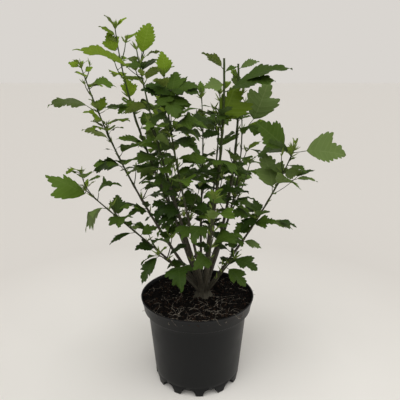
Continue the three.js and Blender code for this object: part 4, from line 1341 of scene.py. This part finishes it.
def makeTufts():
    points = []
    for t, w in ((0.0, 0.035), (0.35, 0.07), (0.75, 0.04), (1.0, 0.004)):
        points += [(-w, 0.0, t), (0.0, 0.03 * (1 - t), t), (w, 0.0, t), (0.0, -0.02 * (1 - t), t)]
    needle = newObject("needle_shape", points, tubeFaces(4, 4), helper=True)
    random = seededSeries(313)
    spots, aims = [], []

    def crowd(at, along, count, spread=tufts["spread"]):
        for i in range(count):
            bearing = math.radians(360 * random())
            tilt = math.radians(spread * (0.25 + random()))
            guess = np.array([1.0, 0, 0] if abs(along[2]) > 0.8 else [0, 0, 1.0])
            side = unit(np.cross(along, guess))
            out = side * math.cos(bearing) + np.cross(along, side) * math.sin(bearing)
            spots.append(at * mm)
            aims.append(along * math.cos(tilt) + out * math.sin(tilt))

    for line, shoot in zip(lines, shoots):
        if "spiky" in shoot:
            crowd(pointOn(line, shoot["spiky"]), heading(shoot["end"][0], 80),
                  tufts["atSpiky"], tufts["spikySpread"])
        elif "cut" not in shoot:
            crowd(pointOn(line, 1.0), unit(line[3] - line[2]), tufts["atTip"])
    for own in twigs:
        end = own["line"]
        crowd(pointOn(end, 1.0), unit(end[3] - end[2]), tufts["atTwig"])
    for spot in joints:
        crowd(spot["at"], heading(spot["bearing"] + 30, 55), tufts["atJoint"])
    seats = newObject("needle_seats", spots, helper=True)
    aim = seats.data.attributes.new("aim", "FLOAT_VECTOR", "POINT")
    aim.data.foreach_set("vector", np.array(aims).ravel())
    tree = copiesTree("needle_tufts", {
        "Smallest": "Float", "Largest": "Float", "Seed": "Int"}, aimed)
    grownFrom(seats, tree, {
        "Copied": needle, "Smallest": tufts["shortest"], "Largest": tufts["longest"],
        "Seed": 4}, "young_needles", leafLooks["fresh"])
    bpy.data.objects.remove(seats)


makeTufts()
print("tufts made")

# The far floor tone darkens the floor away from the pot as painted shade.
studio = {
    "wall": "#d9d5d0", "ambient": 0.38, "sun": 2.05, "softness": 75,
    "sunFrom": (-0.22, -0.78, 1.4), "fill": 1.0, "fillFrom": (1.0, 0.1, 0.35),
    "fillSoftness": 80, "floor": ("#f0ede7", "#f4f1eb"), "farFloor": "#e0dcd6",
    "nearRadius": 0.28, "farRadius": 0.65, "floorHalf": 40.0,
}


def addSun(name, strength, softness, place):
    light = bpy.data.lights.new(name, "SUN")
    light.energy, light.angle = strength, math.radians(softness)
    lamp = bpy.data.objects.new(name, light)
    lamp.rotation_euler = (-Vector(place)).to_track_quat("-Z", "Y").to_euler()
    bpy.context.scene.collection.objects.link(lamp)


def makeStudio():
    s = studio["floorHalf"]
    corners = [(-s, -s, 0), (s, -s, 0), (s, s, 0), (-s, s, 0)]
    floor = newObject("floor", corners, [(0, 1, 2, 3)])
    # matt painted floor, darkened a little away from the pot by painted shade
    material, add, where = newMaterial("painted_floor", 0.8, 1.4, 0.2)
    at = where["Object"]
    patches = add("TexNoise", {"Vector": at, "Scale": 3.0, "Detail": 3})[0]
    tone = add("ValToRGB", {0: patches}, zip((0.3, 0.7), studio["floor"]))[0]
    away = add("VectorMath", {0: at}, operation="LENGTH")["Value"]
    paintedShade = add("MapRange", {0: away, 1: studio["nearRadius"], 2: studio["farRadius"]})[0]
    color = add("Mix", {0: paintedShade, 6: tone, 7: studio["farFloor"]}, data_type="RGBA")[2]
    floor.data.materials.append(coated(material, color))
    # the world looks like a pale wall, and lights the plant more softly than it looks
    world = bpy.data.worlds.new("studio")
    bpy.context.scene.world = world
    world.use_nodes = True
    tree = world.node_tree
    back = tree.nodes["Background"].inputs
    seen = addNode(tree, "LightPath")["Is Camera Ray"]
    ambient = studio["ambient"]
    strength = addNode(tree, "Math", {0: seen, 1: 1 - ambient, 2: ambient},
                       operation="MULTIPLY_ADD")[0]
    back[0].default_value = linearColor(studio["wall"])
    tree.links.new(strength, back[1])
    addSun("key", studio["sun"], studio["softness"], studio["sunFrom"])
    addSun("fill", studio["fill"], studio["fillSoftness"], studio["fillFrom"])
    bpy.context.scene.view_settings.view_transform = "Standard"


def makeCamera():
    data = bpy.data.cameras.new("camera")
    data.lens, data.sensor_width = view["lens"], view["sensor"]
    camera = bpy.data.objects.new("camera", data)
    camera.location = view["place"]
    camera.rotation_euler = (math.radians(rightAngle - view["downward"]), 0, 0)
    bpy.context.scene.collection.objects.link(camera)
    bpy.context.scene.camera = camera


makeStudio()
makeCamera()
